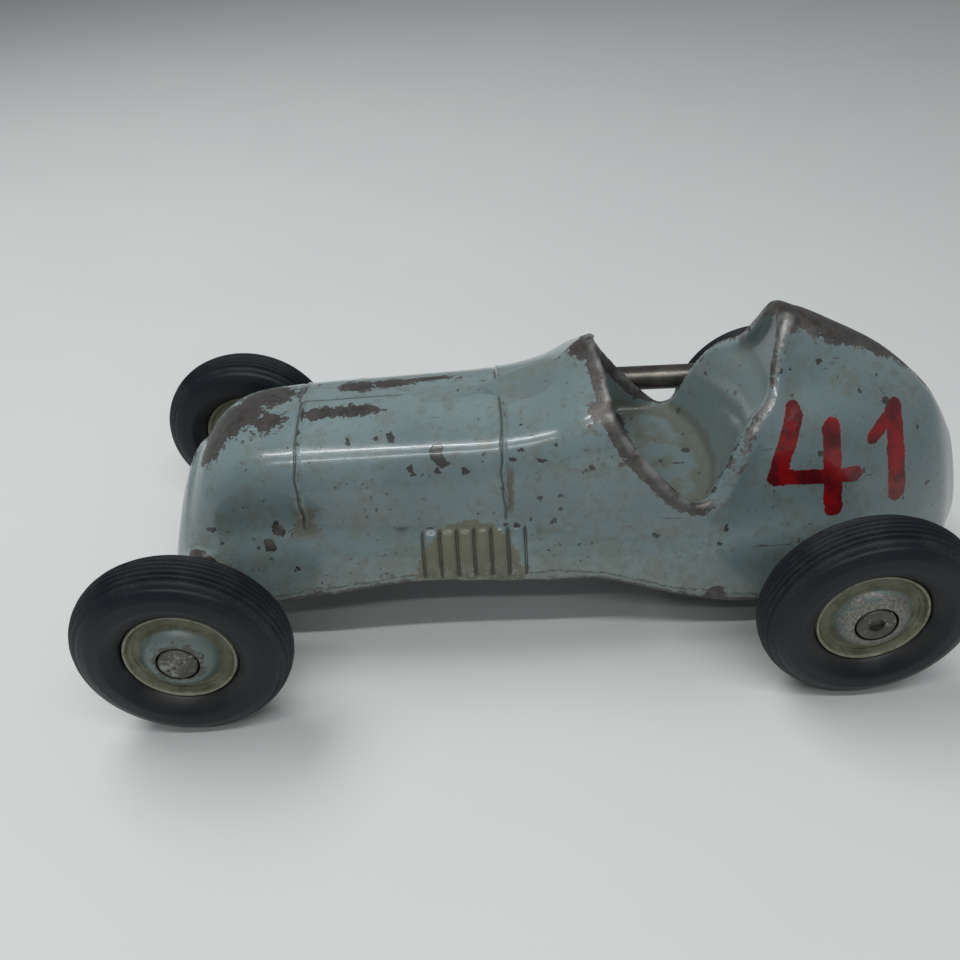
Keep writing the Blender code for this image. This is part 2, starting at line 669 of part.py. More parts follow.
def widest_beside_pipe():
    """The casting's widest half-width along the pipe's straight run."""
    shares = [step / SEARCH_STEPS for step in range(SEARCH_STEPS + 1)]
    return max(side_of_body(blend(PIPE_FRONT_X, PIPE_REAR_X, share), PIPE_REAR_Z) for share in shares)


pipe_y = -(widest_beside_pipe() + PIPE_TO_BODY + PIPE_RADIUS)


def pipe_z(x):
    share = (PIPE_FRONT_X - x) / (PIPE_FRONT_X - PIPE_REAR_X)
    return blend(PIPE_FRONT_Z, PIPE_REAR_Z, share)


def mesh_from_curve(obj):
    """The evaluated curve as a plain mesh object, with its caps joined to its wall."""
    evaluated = obj.evaluated_get(bpy.context.evaluated_depsgraph_get())
    mesh = bpy.data.meshes.new_from_object(evaluated)
    bm = bmesh.new()
    bm.from_mesh(mesh)
    bmesh.ops.remove_doubles(bm, verts=bm.verts, dist=0.00001)
    bmesh.ops.recalc_face_normals(bm, faces=bm.faces)
    bm.to_mesh(mesh)
    bm.free()
    smooth(mesh)
    name = obj.name
    matrix = obj.matrix_world.copy()
    bpy.data.objects.remove(obj, do_unlink=True)
    new = add_object(name, mesh, STEEL)
    new.matrix_world = matrix
    return new


def swept_tube(name, radius, points):
    """A round bar along a list of points, as a closed mesh."""
    curve = bpy.data.curves.new(name, "CURVE")
    curve.dimensions = "3D"
    curve.bevel_depth = radius
    curve.bevel_resolution = BAR_RESOLUTION
    curve.use_fill_caps = True
    line = curve.splines.new("POLY")
    line.points.add(len(points) - 1)
    for point, spot in zip(line.points, points):
        point.co = (*spot, 1)
    raw = bpy.data.objects.new(name, curve)
    CAR.objects.link(raw)
    return mesh_from_curve(raw)


def exhaust_pipe():
    """A straight tube along the body that bends in through the bonnet side at the front."""
    entry_x = PIPE_FRONT_X + PIPE_ELBOW
    entry_y = -(side_of_body(entry_x, PIPE_FRONT_Z) - WALL - PIPE_INSIDE)
    elbow = []
    for step in range(ELBOW_STEPS + 1):
        turn = step / ELBOW_STEPS
        bow = turn * turn * (3 - 2 * turn)
        elbow.append(Vector((blend(entry_x, PIPE_FRONT_X, turn), blend(entry_y, pipe_y, bow), PIPE_FRONT_Z)))
    rear = Vector((PIPE_REAR_X, pipe_y, PIPE_REAR_Z))
    pipe = swept_tube("exhaust_pipe", PIPE_RADIUS, [*elbow, rear])
    run = (rear - elbow[-1]).normalized()
    bore = cylinder("exhaust_bore", PIPE_BORE, rear - run * PIPE_BORE_DEPTH, rear + run * PAST, SHAFT_SIDES)
    boolean(pipe, make_cutter(bore), "DIFFERENCE")
    inward = elbow[0] + (elbow[0] - elbow[1]).normalized() * PORT_INSIDE
    port = swept_tube("exhaust_port", PIPE_RADIUS + GAP, [inward, *elbow])
    boolean(body, make_cutter(port), "DIFFERENCE")


def pipe_clip(name, x):
    """A sheet clip: a ring round the pipe, a web under it and a tab screwed to the body side."""
    z = pipe_z(x)
    inner = PIPE_RADIUS + GAP
    outer = inner + CLIP_SHEET
    low = x - CLIP_WIDTH / 2
    high = x + CLIP_WIDTH / 2
    web_top = z - inner
    web_foot = z - outer
    screw_z = web_foot - CLIP_TAB / 2
    face = side_under(x, screw_z, CLIP_TAB / 2) + GAP
    clip = cylinder(name, outer, (low, pipe_y, z), (high, pipe_y, z), SHAFT_SIDES)
    web = box(f"{name}_web", (low + GAP, pipe_y, web_foot), (high - GAP, -face - GAP, web_top))
    tab = box(f"{name}_tab", (low + 2 * GAP, -face - CLIP_SHEET, web_foot - CLIP_TAB),
              (high - 2 * GAP, -face, web_top - GAP))
    eye = cylinder(f"{name}_eye", inner, (low - PAST, pipe_y, z), (high + PAST, pipe_y, z), SHAFT_SIDES)
    boolean(clip, make_cutter(web), "UNION")
    boolean(clip, make_cutter(tab), "UNION")
    boolean(clip, make_cutter(eye), "DIFFERENCE")
    screw_end = WALL + CLIP_SCREW_PAST - side_of_body(x, screw_z)
    head = -face - CLIP_SHEET - GAP
    screw = turned(f"{name}_screw", [
        (0, head - CLIP_HEAD_HEIGHT),
        (CLIP_HEAD_FACE * CLIP_SCREW_HEAD, head - CLIP_HEAD_HEIGHT),
        (CLIP_SCREW_HEAD, head - CLIP_HEAD_EDGE),
        (CLIP_SCREW_HEAD, head),
        (CLIP_SCREW_RADIUS, head),
        (CLIP_SCREW_RADIUS, screw_end),
        (0, screw_end),
    ], SHAFT_SIDES, STEEL, closed=False)
    screw.location = (x, 0, screw_z)
    hole = cylinder(f"{name}_hole", CLIP_SCREW_RADIUS + GAP, (x, screw_end + CLIP_SCREW_PAST + PAST, screw_z),
                    (x, head - PAST, screw_z), SHAFT_SIDES)
    make_cutter(hole)
    boolean(clip, hole, "DIFFERENCE")
    boolean(body, hole, "DIFFERENCE")


exhaust_pipe()
for number, clip_x in enumerate(CLIP_X):
    pipe_clip(("front_pipe_clip", "rear_pipe_clip")[number], clip_x)


# ---------------------------------------------------------------- origin under the middle of the length

tail_x = min(vertex.co.x for vertex in body.data.vertices)
front_x = max(FRONT_X + AXLE_Z, max(vertex.co.x for vertex in body.data.vertices))
origin = bpy.data.objects.new("car_origin", None)
origin.location.x = -(front_x + tail_x) / 2
CAR.objects.link(origin)
for obj in [*CAR.objects, *CUTTERS.objects]:
    if obj is not origin and obj.parent is None:
        obj.parent = origin
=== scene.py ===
"""Old cast toy racing car: the looks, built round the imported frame."""

import math

import bmesh
import bpy
import numpy as np
from mathutils import Matrix, Vector
from mathutils.bvhtree import BVHTree


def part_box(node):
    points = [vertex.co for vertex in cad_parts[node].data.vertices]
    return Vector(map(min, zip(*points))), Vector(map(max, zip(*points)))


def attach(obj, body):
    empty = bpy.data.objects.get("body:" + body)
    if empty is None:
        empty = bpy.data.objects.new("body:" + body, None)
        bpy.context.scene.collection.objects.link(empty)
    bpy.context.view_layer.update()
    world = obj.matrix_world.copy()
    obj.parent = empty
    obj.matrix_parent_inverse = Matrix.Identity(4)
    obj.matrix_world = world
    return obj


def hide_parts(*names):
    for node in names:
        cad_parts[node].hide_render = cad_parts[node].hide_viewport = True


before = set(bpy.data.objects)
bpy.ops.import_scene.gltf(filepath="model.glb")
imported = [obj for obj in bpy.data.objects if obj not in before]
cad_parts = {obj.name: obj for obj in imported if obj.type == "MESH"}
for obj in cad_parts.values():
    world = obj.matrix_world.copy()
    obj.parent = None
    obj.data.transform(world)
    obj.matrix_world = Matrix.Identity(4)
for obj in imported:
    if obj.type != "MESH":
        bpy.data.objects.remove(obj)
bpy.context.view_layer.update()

MM = 0.001


def middle_of(node):
    low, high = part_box(node)
    return (low + high) / 2


FRONT_AXLE = middle_of("front_axle")
REAR_AXLE = middle_of("rear_axle")
MIDDLE_X = (FRONT_AXLE.x + REAR_AXLE.x) / 2
BODY_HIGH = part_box("body_shell")[1]

# The body's cross-sections as they were drawn: x and lean give the plane, the rest are (half-width, height)
# pairs in millimetres from the ridge on the centre line down the side to the open lower edge.
DRAWN_AXLE_X = 89.0
DRAWN_AXLE_Z = 28.5
DRAWN_HALF_WIDTH = 33.0
DRAWN_TOP = 90.0
SECTIONS = (
    (97.6, -0.31, (0, 54.5), (5, 54), (9.5, 52.2), (13, 48.8), (15, 44), (16.2, 37.5), (16.8, 32),
     (17.2, 25), (16.5, 15)),
    (91, -0.22, (0, 62.4), (6.5, 61.7), (12.5, 59.2), (17, 54.6), (19.6, 49.5), (20.8, 42.5), (21.5, 37),
     (23.5, 30), (24, 17)),
    (79, -0.10, (0, 67.1), (7.5, 66.5), (14.4, 64), (19.6, 59.4), (22.4, 52.8), (23.3, 46.5), (24, 42),
     (27.2, 34), (28.7, 18.5)),
    (60, 0, (0, 68.6), (8, 68), (15.2, 65.7), (20.8, 61), (23.8, 54.3), (24.7, 48.5), (25.4, 44),
     (29.7, 36), (31.2, 22)),
    (30, 0, (0, 69.3), (8.2, 68.7), (15.6, 66.5), (21.5, 61.8), (24.8, 54.3), (25.6, 47.5), (26.2, 42.5),
     (30.3, 35.5), (32, 26.5)),
    (5, 0, (0, 70.4), (8.2, 69.8), (15.8, 67.4), (22, 62.9), (25.3, 55), (26.2, 46.5), (26.9, 41),
     (30.8, 34.5), (32.2, 25.3)),
    (-10, 0, (0, 75.4), (8, 73.6), (15.8, 70.4), (22.2, 66), (25.8, 58), (26.8, 47), (27.4, 39.8),
     (31.2, 33.5), (32.4, 25)),
    (-23, 0, (0, 84.6), (8, 80.4), (15.6, 76.2), (22.6, 71.2), (26.6, 62.5), (27.8, 49), (28.4, 38.5),
     (31.6, 32), (32.6, 24.3)),
    (-45, 0, (0, 84), (7.5, 80), (14.5, 75), (20.5, 69), (25.8, 60), (28.4, 46.5), (29.2, 37.5),
     (32, 30.5), (32.9, 17)),
    (-60, 0, (0, 86.5), (6, 83.5), (11.5, 77), (18.5, 71), (24.4, 63), (27, 50), (28.8, 39.5),
     (32, 31), (33, 13.5)),
    (-74, 0, (0, 90), (5.2, 88.2), (9.8, 81), (14.6, 73.2), (21.8, 67), (25.4, 57), (27.8, 43.5),
     (31.8, 33), (33, 12.8)),
    (-90, 0, (0, 83.7), (5, 82), (9.8, 76.4), (14.6, 70), (20.2, 63), (23.6, 54), (26.2, 44.8),
     (30, 34), (31.5, 13)),
    (-106, 0, (0, 74.4), (4.8, 73), (9.4, 68.4), (13.6, 62.8), (17.6, 56), (20.6, 49.5), (22.8, 44),
     (25.8, 34), (27, 14)),
    (-123.5, 0.12, (0, 62.4), (3.8, 61), (7.4, 57.2), (10.3, 52.5), (12.8, 47.5), (14.6, 43), (15.8, 39),
     (17.6, 31), (18.4, 16)),
    (-133.5, 0.24, (0, 49.5), (1.8, 48.4), (3.2, 45.8), (4.3, 42.2), (5, 38.6), (5.4, 35), (5.7, 31.5),
     (6, 26.5), (6, 18.5)),
)
WALL = 2.6
CAVITY_NOSE = 0.35  # sections from the nose to the hollow
CAVITY_TAIL = 1.75  # and from the hollow to the tail
NOSE_DOME = 3.4
TAIL_DOME = -2.0
DOME_CURVE = 2.6
DOME_FLAT = 0.04
BOSS_RADIUS = 7.0
BOSS_DEPTH = 9.0
BOSS_HOLE = 4.5
PIPE_RADIUS = 3.9
PIPE_BORE = 2.9
PIPE_BORE_DEPTH = 14.0
PIPE_FALL = 1.8
PIPE_ELBOW_SHARE = 0.325  # of the way from the pipe's front end to its front clip
PORT_GAP = 0.35
PORT_POINTS = 22  # points of the pipe's line that the port follows

# Side view of the cockpit opening: down the cowl lip, along the sill and up the head fairing's edge.
COWL_LIP = ((-22.2, 86), (-24.2, 79), (-26.4, 71), (-31.5, 62.8), (-37.5, 55.5), (-43, 49.6))
SILL = ((-47.5, 45.8), (-52, 44.8), (-56, 46.6))
FAIRING_EDGE = ((-58.6, 52), (-61.9, 61.6), (-64.6, 67), (-69, 71), (-71, 79), (-73.2, 88))

VOXEL = 0.9


# ---------------------------------------------------------------- meshes


def spline(values, places):
    """A smooth curve through evenly numbered values, read at fractional places."""
    values = np.asarray(values, float)
    last = len(values) - 1
    places = np.clip(np.asarray(places, float), 0, last)
    index = np.minimum(places.astype(int), last - 1)
    t = (places - index).reshape((-1,) + (1,) * (values.ndim - 1))
    before = values[np.maximum(index - 1, 0)]
    here = values[index]
    after = values[index + 1]
    beyond = values[np.minimum(index + 2, last)]
    return (
        here * (2 * t**3 - 3 * t**2 + 1)
        + (after - before) / 2 * (t**3 - 2 * t**2 + t)
        + after * (3 * t**2 - 2 * t**3)
        + (beyond - here) / 2 * (t**3 - t**2)
    )


def to_car(points):
    """Drawn millimetres, x from the middle of the wheelbase, to metres on the car."""
    x, y, z = np.moveaxis(np.asarray(points, float), -1, 0)
    along = MIDDLE_X + x * (FRONT_AXLE.x - REAR_AXLE.x) / (2 * DRAWN_AXLE_X)
    across = y * BODY_HIGH.y / DRAWN_HALF_WIDTH
    up = FRONT_AXLE.z + (z - DRAWN_AXLE_Z) * (BODY_HIGH.z - FRONT_AXLE.z) / (DRAWN_TOP - DRAWN_AXLE_Z)
    return np.stack((along, across, up), axis=-1)


def to_drawn(points):
    """Metres on the car back to drawn millimetres."""
    x, y, z = np.moveaxis(np.asarray(points, float), -1, 0)
    along = (x - MIDDLE_X) * (2 * DRAWN_AXLE_X) / (FRONT_AXLE.x - REAR_AXLE.x)
    across = y * DRAWN_HALF_WIDTH / BODY_HIGH.y
    up = DRAWN_AXLE_Z + (z - FRONT_AXLE.z) * (DRAWN_TOP - DRAWN_AXLE_Z) / (BODY_HIGH.z - FRONT_AXLE.z)
    return np.stack((along, across, up), axis=-1)


def sheet_of(points):
    """A grid whose vertices take the given rows and columns of points."""
    rows, columns = points.shape[:2]
    bm = bmesh.new()
    bmesh.ops.create_grid(bm, x_segments=columns - 1, y_segments=rows - 1, size=1)
    for vert in bm.verts:
        row = round((vert.co.y + 1) / 2 * (rows - 1))
        column = round((vert.co.x + 1) / 2 * (columns - 1))
        vert.co = points[row, column]
    return bm


def close_up(bm, distance=1e-7):
    """Welds a wrapped sheet along its seam and closes its ends."""
    bmesh.ops.remove_doubles(bm, verts=bm.verts, dist=distance)
    bmesh.ops.holes_fill(bm, edges=bm.edges)
    bmesh.ops.recalc_face_normals(bm, faces=bm.faces)
    return bm


def object_of(name, bm):
    mesh = bpy.data.meshes.new(name)
    bm.to_mesh(mesh)
    bm.free()
    obj = bpy.data.objects.new(name, mesh)
    bpy.context.scene.collection.objects.link(obj)
    return obj


def applied(obj):
    """Bakes the object's modifiers into its mesh."""
    graph = bpy.context.evaluated_depsgraph_get()
    mesh = bpy.data.meshes.new_from_object(obj.evaluated_get(graph))
    obj.modifiers.clear()
    obj.data = mesh
    return obj


def cut(obj, other, operation="DIFFERENCE"):
    """Cuts, joins or trims obj with a helper, and removes the helper."""
    modifier = obj.modifiers.new(operation.lower(), "BOOLEAN")
    modifier.operation = operation
    modifier.solver = "MANIFOLD"
    modifier.object = other
    applied(obj)
    bpy.data.objects.remove(other)
    return obj


def rod(name, radius, start, end, sides=48):
    start, end = Vector(start), Vector(end)
    bm = bmesh.new()
    bmesh.ops.create_cone(bm, cap_ends=True, segments=sides, radius1=radius, radius2=radius,
                          depth=(end - start).length)
    aim = (end - start).to_track_quat("Z", "Y").to_matrix()
    bmesh.ops.rotate(bm, verts=bm.verts, matrix=aim)
    bmesh.ops.translate(bm, verts=bm.verts, vec=(start + end) / 2)
    return object_of(name, bm)


def tube_sheet(path, radii, sides=20):
    """Points of a round bar along a path, with its own radius at each point."""
    path = np.asarray(path, float)
    radii = np.broadcast_to(np.asarray(radii, float), len(path))
    tangents = np.gradient(path, axis=0)
    tangents /= np.linalg.norm(tangents, axis=1, keepdims=True)
    side = np.cross(tangents[0], (0.0, 0.3, 1.0))
    rings = []
    for spot, tangent, radius in zip(path, tangents, radii):
        side = side - tangent * (side @ tangent)
        side /= np.linalg.norm(side)
        other = np.cross(tangent, side)
        turns = np.linspace(0, 2 * math.pi, sides + 1)
        turns[-1] = 0
        rings.append(spot + radius * (np.outer(np.cos(turns), side) + np.outer(np.sin(turns), other)))
    return np.array(rings)


def bar(name, path, radii, sides=20):
    return object_of(name, close_up(sheet_of(tube_sheet(path, radii, sides))))


def rounded(profile, radius, steps=4):
    """The profile with each corner replaced by a small arc."""
    points = [Vector(p) for p in profile]
    result = []
    for index, corner in enumerate(points):
        before = points[index - 1] - corner
        after = points[(index + 1) % len(points)] - corner
        reach = min(radius, 0.45 * before.length, 0.45 * after.length)
        start = corner + before.normalized() * reach
        end = corner + after.normalized() * reach
        for step in range(steps + 1):
            t = step / steps
            result.append(start * (1 - t) ** 2 + corner * 2 * t * (1 - t) + end * t**2)
    return result


def turned(name, profile, centre, steps=96, closed=True):
    """A piece turned about the Y axis through centre, from (radius, offset) pairs in millimetres."""
    bm = bmesh.new()
    verts = [bm.verts.new((max(r, 0) * MM, a * MM, 0)) for r, a in profile]
    pairs = list(zip(verts, verts[1:]))
    if closed:
        pairs.append((verts[-1], verts[0]))
    edges = [bm.edges.new(pair) for pair in pairs]
    bmesh.ops.spin(bm, geom=verts + edges, cent=(0, 0, 0), axis=(0, 1, 0), angle=2 * math.pi,
                   steps=steps, use_merge=True, use_duplicate=False)
    bmesh.ops.remove_doubles(bm, verts=bm.verts, dist=2e-6)
    bmesh.ops.translate(bm, verts=bm.verts, vec=centre)
    bmesh.ops.recalc_face_normals(bm, faces=bm.faces)
    return object_of(name, bm)


def coords(mesh):
    found = np.empty(len(mesh.vertices) * 3, np.float32)
    mesh.vertices.foreach_get("co", found)
    return found.reshape(-1, 3).astype(float)


def note(obj, name, values):
    """Keeps a number for each vertex, for the finish to read."""
    layer = obj.data.attributes.new(name, "FLOAT", "POINT")
    layer.data.foreach_set("value", np.asarray(values, np.float32))


def keep(obj, finish, body, nodes, angle=40):
    """Gives a finished piece its finish and its body, and hides the nodes it stands for."""
    obj.data.shade_smooth()
    if angle:
        obj.data.set_sharp_from_angle(angle=math.radians(angle))
    obj.data.materials.clear()
    obj.data.materials.append(finish)
    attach(obj, body)
    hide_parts(*nodes)
    return obj


# ---------------------------------------------------------------- finishes


class Value:
    """A shader number: arithmetic on it adds Math nodes."""

    def __init__(self, finish, socket):
        self.finish = finish
        self.socket = socket

    def maths(self, operation, *others):
        return self.finish.node("ShaderNodeMath", {"operation": operation}, dict(enumerate((self, *others))))

    def __add__(self, other):
        return self.maths("ADD", other)

    __radd__ = __add__

    def __sub__(self, other):
        return self.maths("SUBTRACT", other)

    def __rsub__(self, other):
        return self.finish.node("ShaderNodeMath", {"operation": "SUBTRACT"}, {0: other, 1: self})

    def __mul__(self, other):
        return self.maths("MULTIPLY", other)

    __rmul__ = __mul__

    def __truediv__(self, other):
        return self.maths("DIVIDE", other)

    def absolute(self):
        return self.maths("ABSOLUTE")

    def smaller(self, other):
        return self.maths("MINIMUM", other)

    def larger(self, other):
        return self.maths("MAXIMUM", other)

    def between(self, low, high, start=0.0, end=1.0):
        """Smoothly from start, where the value is low, to end, where it is high."""
        settings = {"interpolation_type": "SMOOTHSTEP"}
        inputs = {"Value": self, "From Min": low, "From Max": high, "To Min": start, "To Max": end}
        return self.finish.node("ShaderNodeMapRange", settings, inputs)


class Finish:
    """A procedural material and the few calls that build it."""

    def __init__(self, name):
        self.material = bpy.data.materials.new(name)
        self.material.use_nodes = True
        self.tree = self.material.node_tree
        self.tree.nodes.clear()
        self.place = self.node("ShaderNodeTexCoord", out="Object")

    def node(self, kind, settings=None, inputs=None, out=0):
        made = self.tree.nodes.new(kind)
        for name, value in (settings or {}).items():
            if name == "stops":
                ramp = made.color_ramp.elements
                while len(ramp) < len(value):
                    ramp.new(1.0)
                for element, (position, colour) in zip(ramp, value):
                    element.position = position
                    element.color = (*colour, 1)
            else:
                setattr(made, name, value)
        for name, value in (inputs or {}).items():
            if isinstance(value, Value):
                self.tree.links.new(value.socket, made.inputs[name])
            else:
                made.inputs[name].default_value = value
        return Value(self, made.outputs[out]) if out is not None else None

    def number(self, name):
        """A number kept on the piece's vertices."""
        return self.node("ShaderNodeAttribute", {"attribute_name": name}, out="Fac")

    def stretched(self, scale, turn=(0, 0, 0)):
        """The place, turned and scaled, for a pattern that runs in one direction."""
        return self.node("ShaderNodeMapping", None, {"Vector": self.place, "Rotation": turn, "Scale": scale})

    def grain(self, size, detail=3.0, rough=0.55, where=None):
        """Noise whose lumps are about `size` millimetres."""
        inputs = {"Vector": where or self.place, "Scale": 1 / (size * MM), "Detail": detail, "Roughness": rough}
        return self.node("ShaderNodeTexNoise", None, inputs)

    def torn(self, size, reach):
        """The place, pushed about by noise of `size` millimetres as far as `reach` millimetres."""
        inputs = {"Vector": self.place, "Scale": 1 / (size * MM), "Detail": 3.0}
        noise = self.node("ShaderNodeTexNoise", None, inputs, out="Color")
        push = self.node("ShaderNodeVectorMath", {"operation": "SUBTRACT"}, {0: noise, 1: (0.5, 0.5, 0.5)})
        push = self.node("ShaderNodeVectorMath", {"operation": "SCALE"}, {0: push, "Scale": reach * MM})
        return self.node("ShaderNodeVectorMath", {"operation": "ADD"}, {0: self.place, 1: push})

    def cells(self, size, where=None, out="Distance"):
        """Distance to the nearest of many scattered points, or that point's own random colour."""
        inputs = {"Vector": where or self.place, "Scale": 1 / (size * MM)}
        return self.node("ShaderNodeTexVoronoi", None, inputs, out)

    def axes(self):
        """Object x, y and z in millimetres."""
        split = self.node("ShaderNodeSeparateXYZ", None, {"Vector": self.place})
        node = split.socket.node
        return [Value(self, node.outputs[i]) / MM for i in range(3)]

    def mix(self, low, high, share):
        """A colour from low to high."""
        made = self.node("ShaderNodeMix", {"data_type": "RGBA"}, {"Factor": share}, out=2).socket.node
        for index, value in ((6, low), (7, high)):
            if isinstance(value, Value):
                self.tree.links.new(value.socket, made.inputs[index])
            else:
                made.inputs[index].default_value = (*value, 1)
        return Value(self, made.outputs[2])

    def blend(self, low, high, share):
        """A number from low to high."""
        return low + (high - low) * share

    def bump(self, height, distance, strength=1.0, onto=None):
        inputs = {"Height": height, "Distance": distance * MM, "Strength": strength}
        if onto is not None:
            inputs["Normal"] = onto
        return self.node("ShaderNodeBump", None, inputs)

    def coat(self, **inputs):
        """The shader itself; returns the finished material."""
        named = {key.replace("_", " "): value for key, value in inputs.items()}
        for key, value in named.items():
            if isinstance(value, tuple) and len(value) == 3:
                named[key] = (*value, 1)
        shader = self.node("ShaderNodeBsdfPrincipled", None, named)
        self.node("ShaderNodeOutputMaterial", None, {"Surface": shader}, out=None)
        return self.material


# ---------------------------------------------------------------- body casting


def half_sections(places, steps, inset=0.0):
    """Rows of points from the ridge to the lower edge, moved in by `inset` millimetres across the wall."""
    planes = spline([section[:2] for section in SECTIONS], places)
    corners = spline([section[2:] for section in SECTIONS], places)
    along = np.linspace(0, corners.shape[1] - 1, steps)
    curve = np.moveaxis(spline(np.moveaxis(corners, 1, 0), along), 0, 1)
    if inset:
        ahead = np.gradient(curve, axis=1)
        normal = np.stack((-ahead[..., 1], ahead[..., 0]), axis=-1)
        normal /= np.linalg.norm(normal, axis=-1, keepdims=True)
        normal[:, 0] = (0, 1)
        curve = curve - normal * inset
        curve[:, 1:, 0] = np.maximum(curve[:, 1:, 0], 0.3)
        curve[:, 0, 0] = 0
    x = planes[:, :1] + planes[:, 1:] * (curve[..., 1] - DRAWN_AXLE_Z)
    return np.stack((x, curve[..., 0], curve[..., 1]), axis=-1)


def body_solid(name, inset=0.0, first=0.0, last=None, drop=0.0, rows=170, steps=56):
    """A closed loft of the sections; without an inset its two ends are domed."""
    last = len(SECTIONS) - 1 if last is None else last
    left = half_sections(np.linspace(first, last, rows), steps, inset)
    if drop:
        left = np.concatenate((left, left[:, -1:] - (0, 0, drop)), axis=1)
    right = left[:, :0:-1] * (1, -1, 1)
    rings = np.concatenate((right, left, right[:, :1]), axis=1)
    if not inset:
        rings = np.concatenate((domed(rings[0], NOSE_DOME)[::-1], rings, domed(rings[-1], TAIL_DOME)))
    return object_of(name, close_up(sheet_of(to_car(rings))))


def domed(ring, depth, steps=7):
    """Rings that close an end with a low dome of the given depth, down to a small flat."""
    centre = ring[:-1].mean(axis=0)
    found = []
    for step in range(1, steps + 1):
        share = step / steps
        size = max((1 - share**DOME_CURVE) ** (1 / DOME_CURVE), DOME_FLAT)
        out = depth * (1 - (1 - share) ** 1.7)
        found.append(centre + (ring - centre) * size + (out, 0, 0))
    return np.array(found)


def side_hit(tree, x, z, side=1):
    """Where the body's outer face is, seen square from one side."""
    return tree.ray_cast(Vector((x, side * 0.1, z)), Vector((0, -side, 0)))[0]


def seat_tub():
    """Seat floor and back, one curved plate across the casting that wraps forward at its sides."""
    edge = np.array(FAIRING_EDGE)
    floor_z = 44.8 - 2.7
    front_x = COWL_LIP[-2][0] + 3.0
    foot_x = edge[0][0] - 0.9
    path = [(front_x + (foot_x - front_x) * share, floor_z) for share in (0, 0.3, 0.6, 0.85)]
    path.append((foot_x - 0.6, floor_z + 2.4))
    path += [(x - 3.6, z - 1.0) for x, z in edge[1:-1]]
    path.append((edge[-1][0] - 2.0, edge[-1][1] - 1.8))
    path = spline(path, np.linspace(0, len(path) - 1, 60))
    across = np.linspace(-1, 1, 61)
    height = np.clip((path[:, 1] - floor_z) / 6.0, 0, 1)
    start = np.clip((front_x - path[:, 0]) / (front_x - foot_x), 0, 1) ** 3
    wrap = 15.0 * np.maximum(height, start)[:, None] * np.abs(across)[None, :] ** 2.3
    dish = 0.7 * (1 - across[None, :] ** 2) * (1 - height[:, None])
    wide = DRAWN_HALF_WIDTH + 4
    points = np.stack((
        path[:, :1] + wrap * (1 - 0.55 * np.clip((path[:, 1:] - 60) / 25, 0, 1)),
        np.broadcast_to(across * wide, wrap.shape),
        path[:, 1:] - dish + 1.6 * np.abs(across)[None, :] ** 6 * (1 - height[:, None]),
    ), axis=-1)
    tub = object_of("seat_tub", sheet_of(to_car(points)))
    wall = tub.modifiers.new("wall", "SOLIDIFY")
    wall.thickness = 2.2 * MM
    wall.offset = 1.0
    applied(tub)
    bm = bmesh.new()
    bm.from_mesh(tub.data)
    bmesh.ops.recalc_face_normals(bm, faces=bm.faces)
    bm.to_mesh(tub.data)
    bm.free()
    return tub


def opening_edge(tree, pieces=6):
    """The cockpit opening's edge on the left side, from the cowl's top down and up to the fairing's top."""
    outline = (*COWL_LIP, *SILL, *FAIRING_EDGE)
    seen = spline(outline, np.linspace(0, len(outline) - 1, (len(outline) - 1) * pieces + 1))
    found = []
    for x, z in to_car(np.stack((seen[:, 0], 0 * seen[:, 0], seen[:, 1]), axis=-1))[:, ::2]:
        hit = side_hit(tree, x, z)
        if hit is not None:
            found.append(hit)
    return np.array(found)


def rim_bead(tree):
    """The thick rounded edge of the opening: slim on the cowl and the sill, fat up the head fairing."""
    left = opening_edge(tree)
    drawn = to_drawn(left)
    inward = np.stack((0 * drawn[:, 0], -np.clip(drawn[:, 1], 0, 1), 0 * drawn[:, 0]), axis=-1)
    centre = drawn + inward * 1.15
    front = np.array([[-22.6, 0.0, 83.6], [-23.0, 5.0, 81.6]])
    back = np.array([[-73.8, 3.0, 88.0], [-74.2, 0.0, 88.6]])
    keep_rows = (centre[:, 2] < 80.5) | (centre[:, 0] < -50)
    half = np.concatenate((front, centre[keep_rows], back))
    half = spline(half, np.linspace(0, len(half) - 1, 150))
    whole = np.concatenate((half, half[-2::-1] * (1, -1, 1)))
    rear = np.clip((-52 - whole[:, 0]) / 8, 0, 1)
    sill = np.clip(1 - np.abs(whole[:, 0] + 48) / 9, 0, 1)
    radii = (1.35 - 0.45 * sill + 0.95 * rear) * MM
    return bar("rim_bead", to_car(whole), radii, 14)


def spread(values, edges, count, rounds):
    """The values averaged with their neighbours' again and again."""
    a, b = edges.T
    many = np.bincount(a, minlength=count) + np.bincount(b, minlength=count)
    many = np.maximum(many, 1)[:, None]
    for _ in range(rounds):
        total = np.zeros_like(values)
        for column in range(values.shape[1]):
            total[:, column] = (np.bincount(a, values[b, column], count)
                                + np.bincount(b, values[a, column], count))
        values = total / many
    return values


def edges_of(mesh):
    found = np.empty(len(mesh.edges) * 2, np.int32)
    mesh.edges.foreach_get("vertices", found)
    return found.reshape(-1, 2)


def normals_of(mesh):
    found = np.empty(len(mesh.vertices) * 3, np.float32)
    mesh.vertices.foreach_get("normal", found)
    return found.reshape(-1, 3).astype(float)


FRONT_SEAM = 58.0
REAR_SEAM = 2.6
LOUVRES = 7
LOUVRE_FRONT = 26.4
LOUVRE_PITCH = 4.72
LOUVRE_TOP = 41.0
LOUVRE_FOOT = 27.6


def step_down(values, low, high):
    """1 below low, 0 above high, smooth between."""
    t = np.clip((np.asarray(values, float) - low) / (high - low), 0, 1)
    return 1 - t * t * (3 - 2 * t)


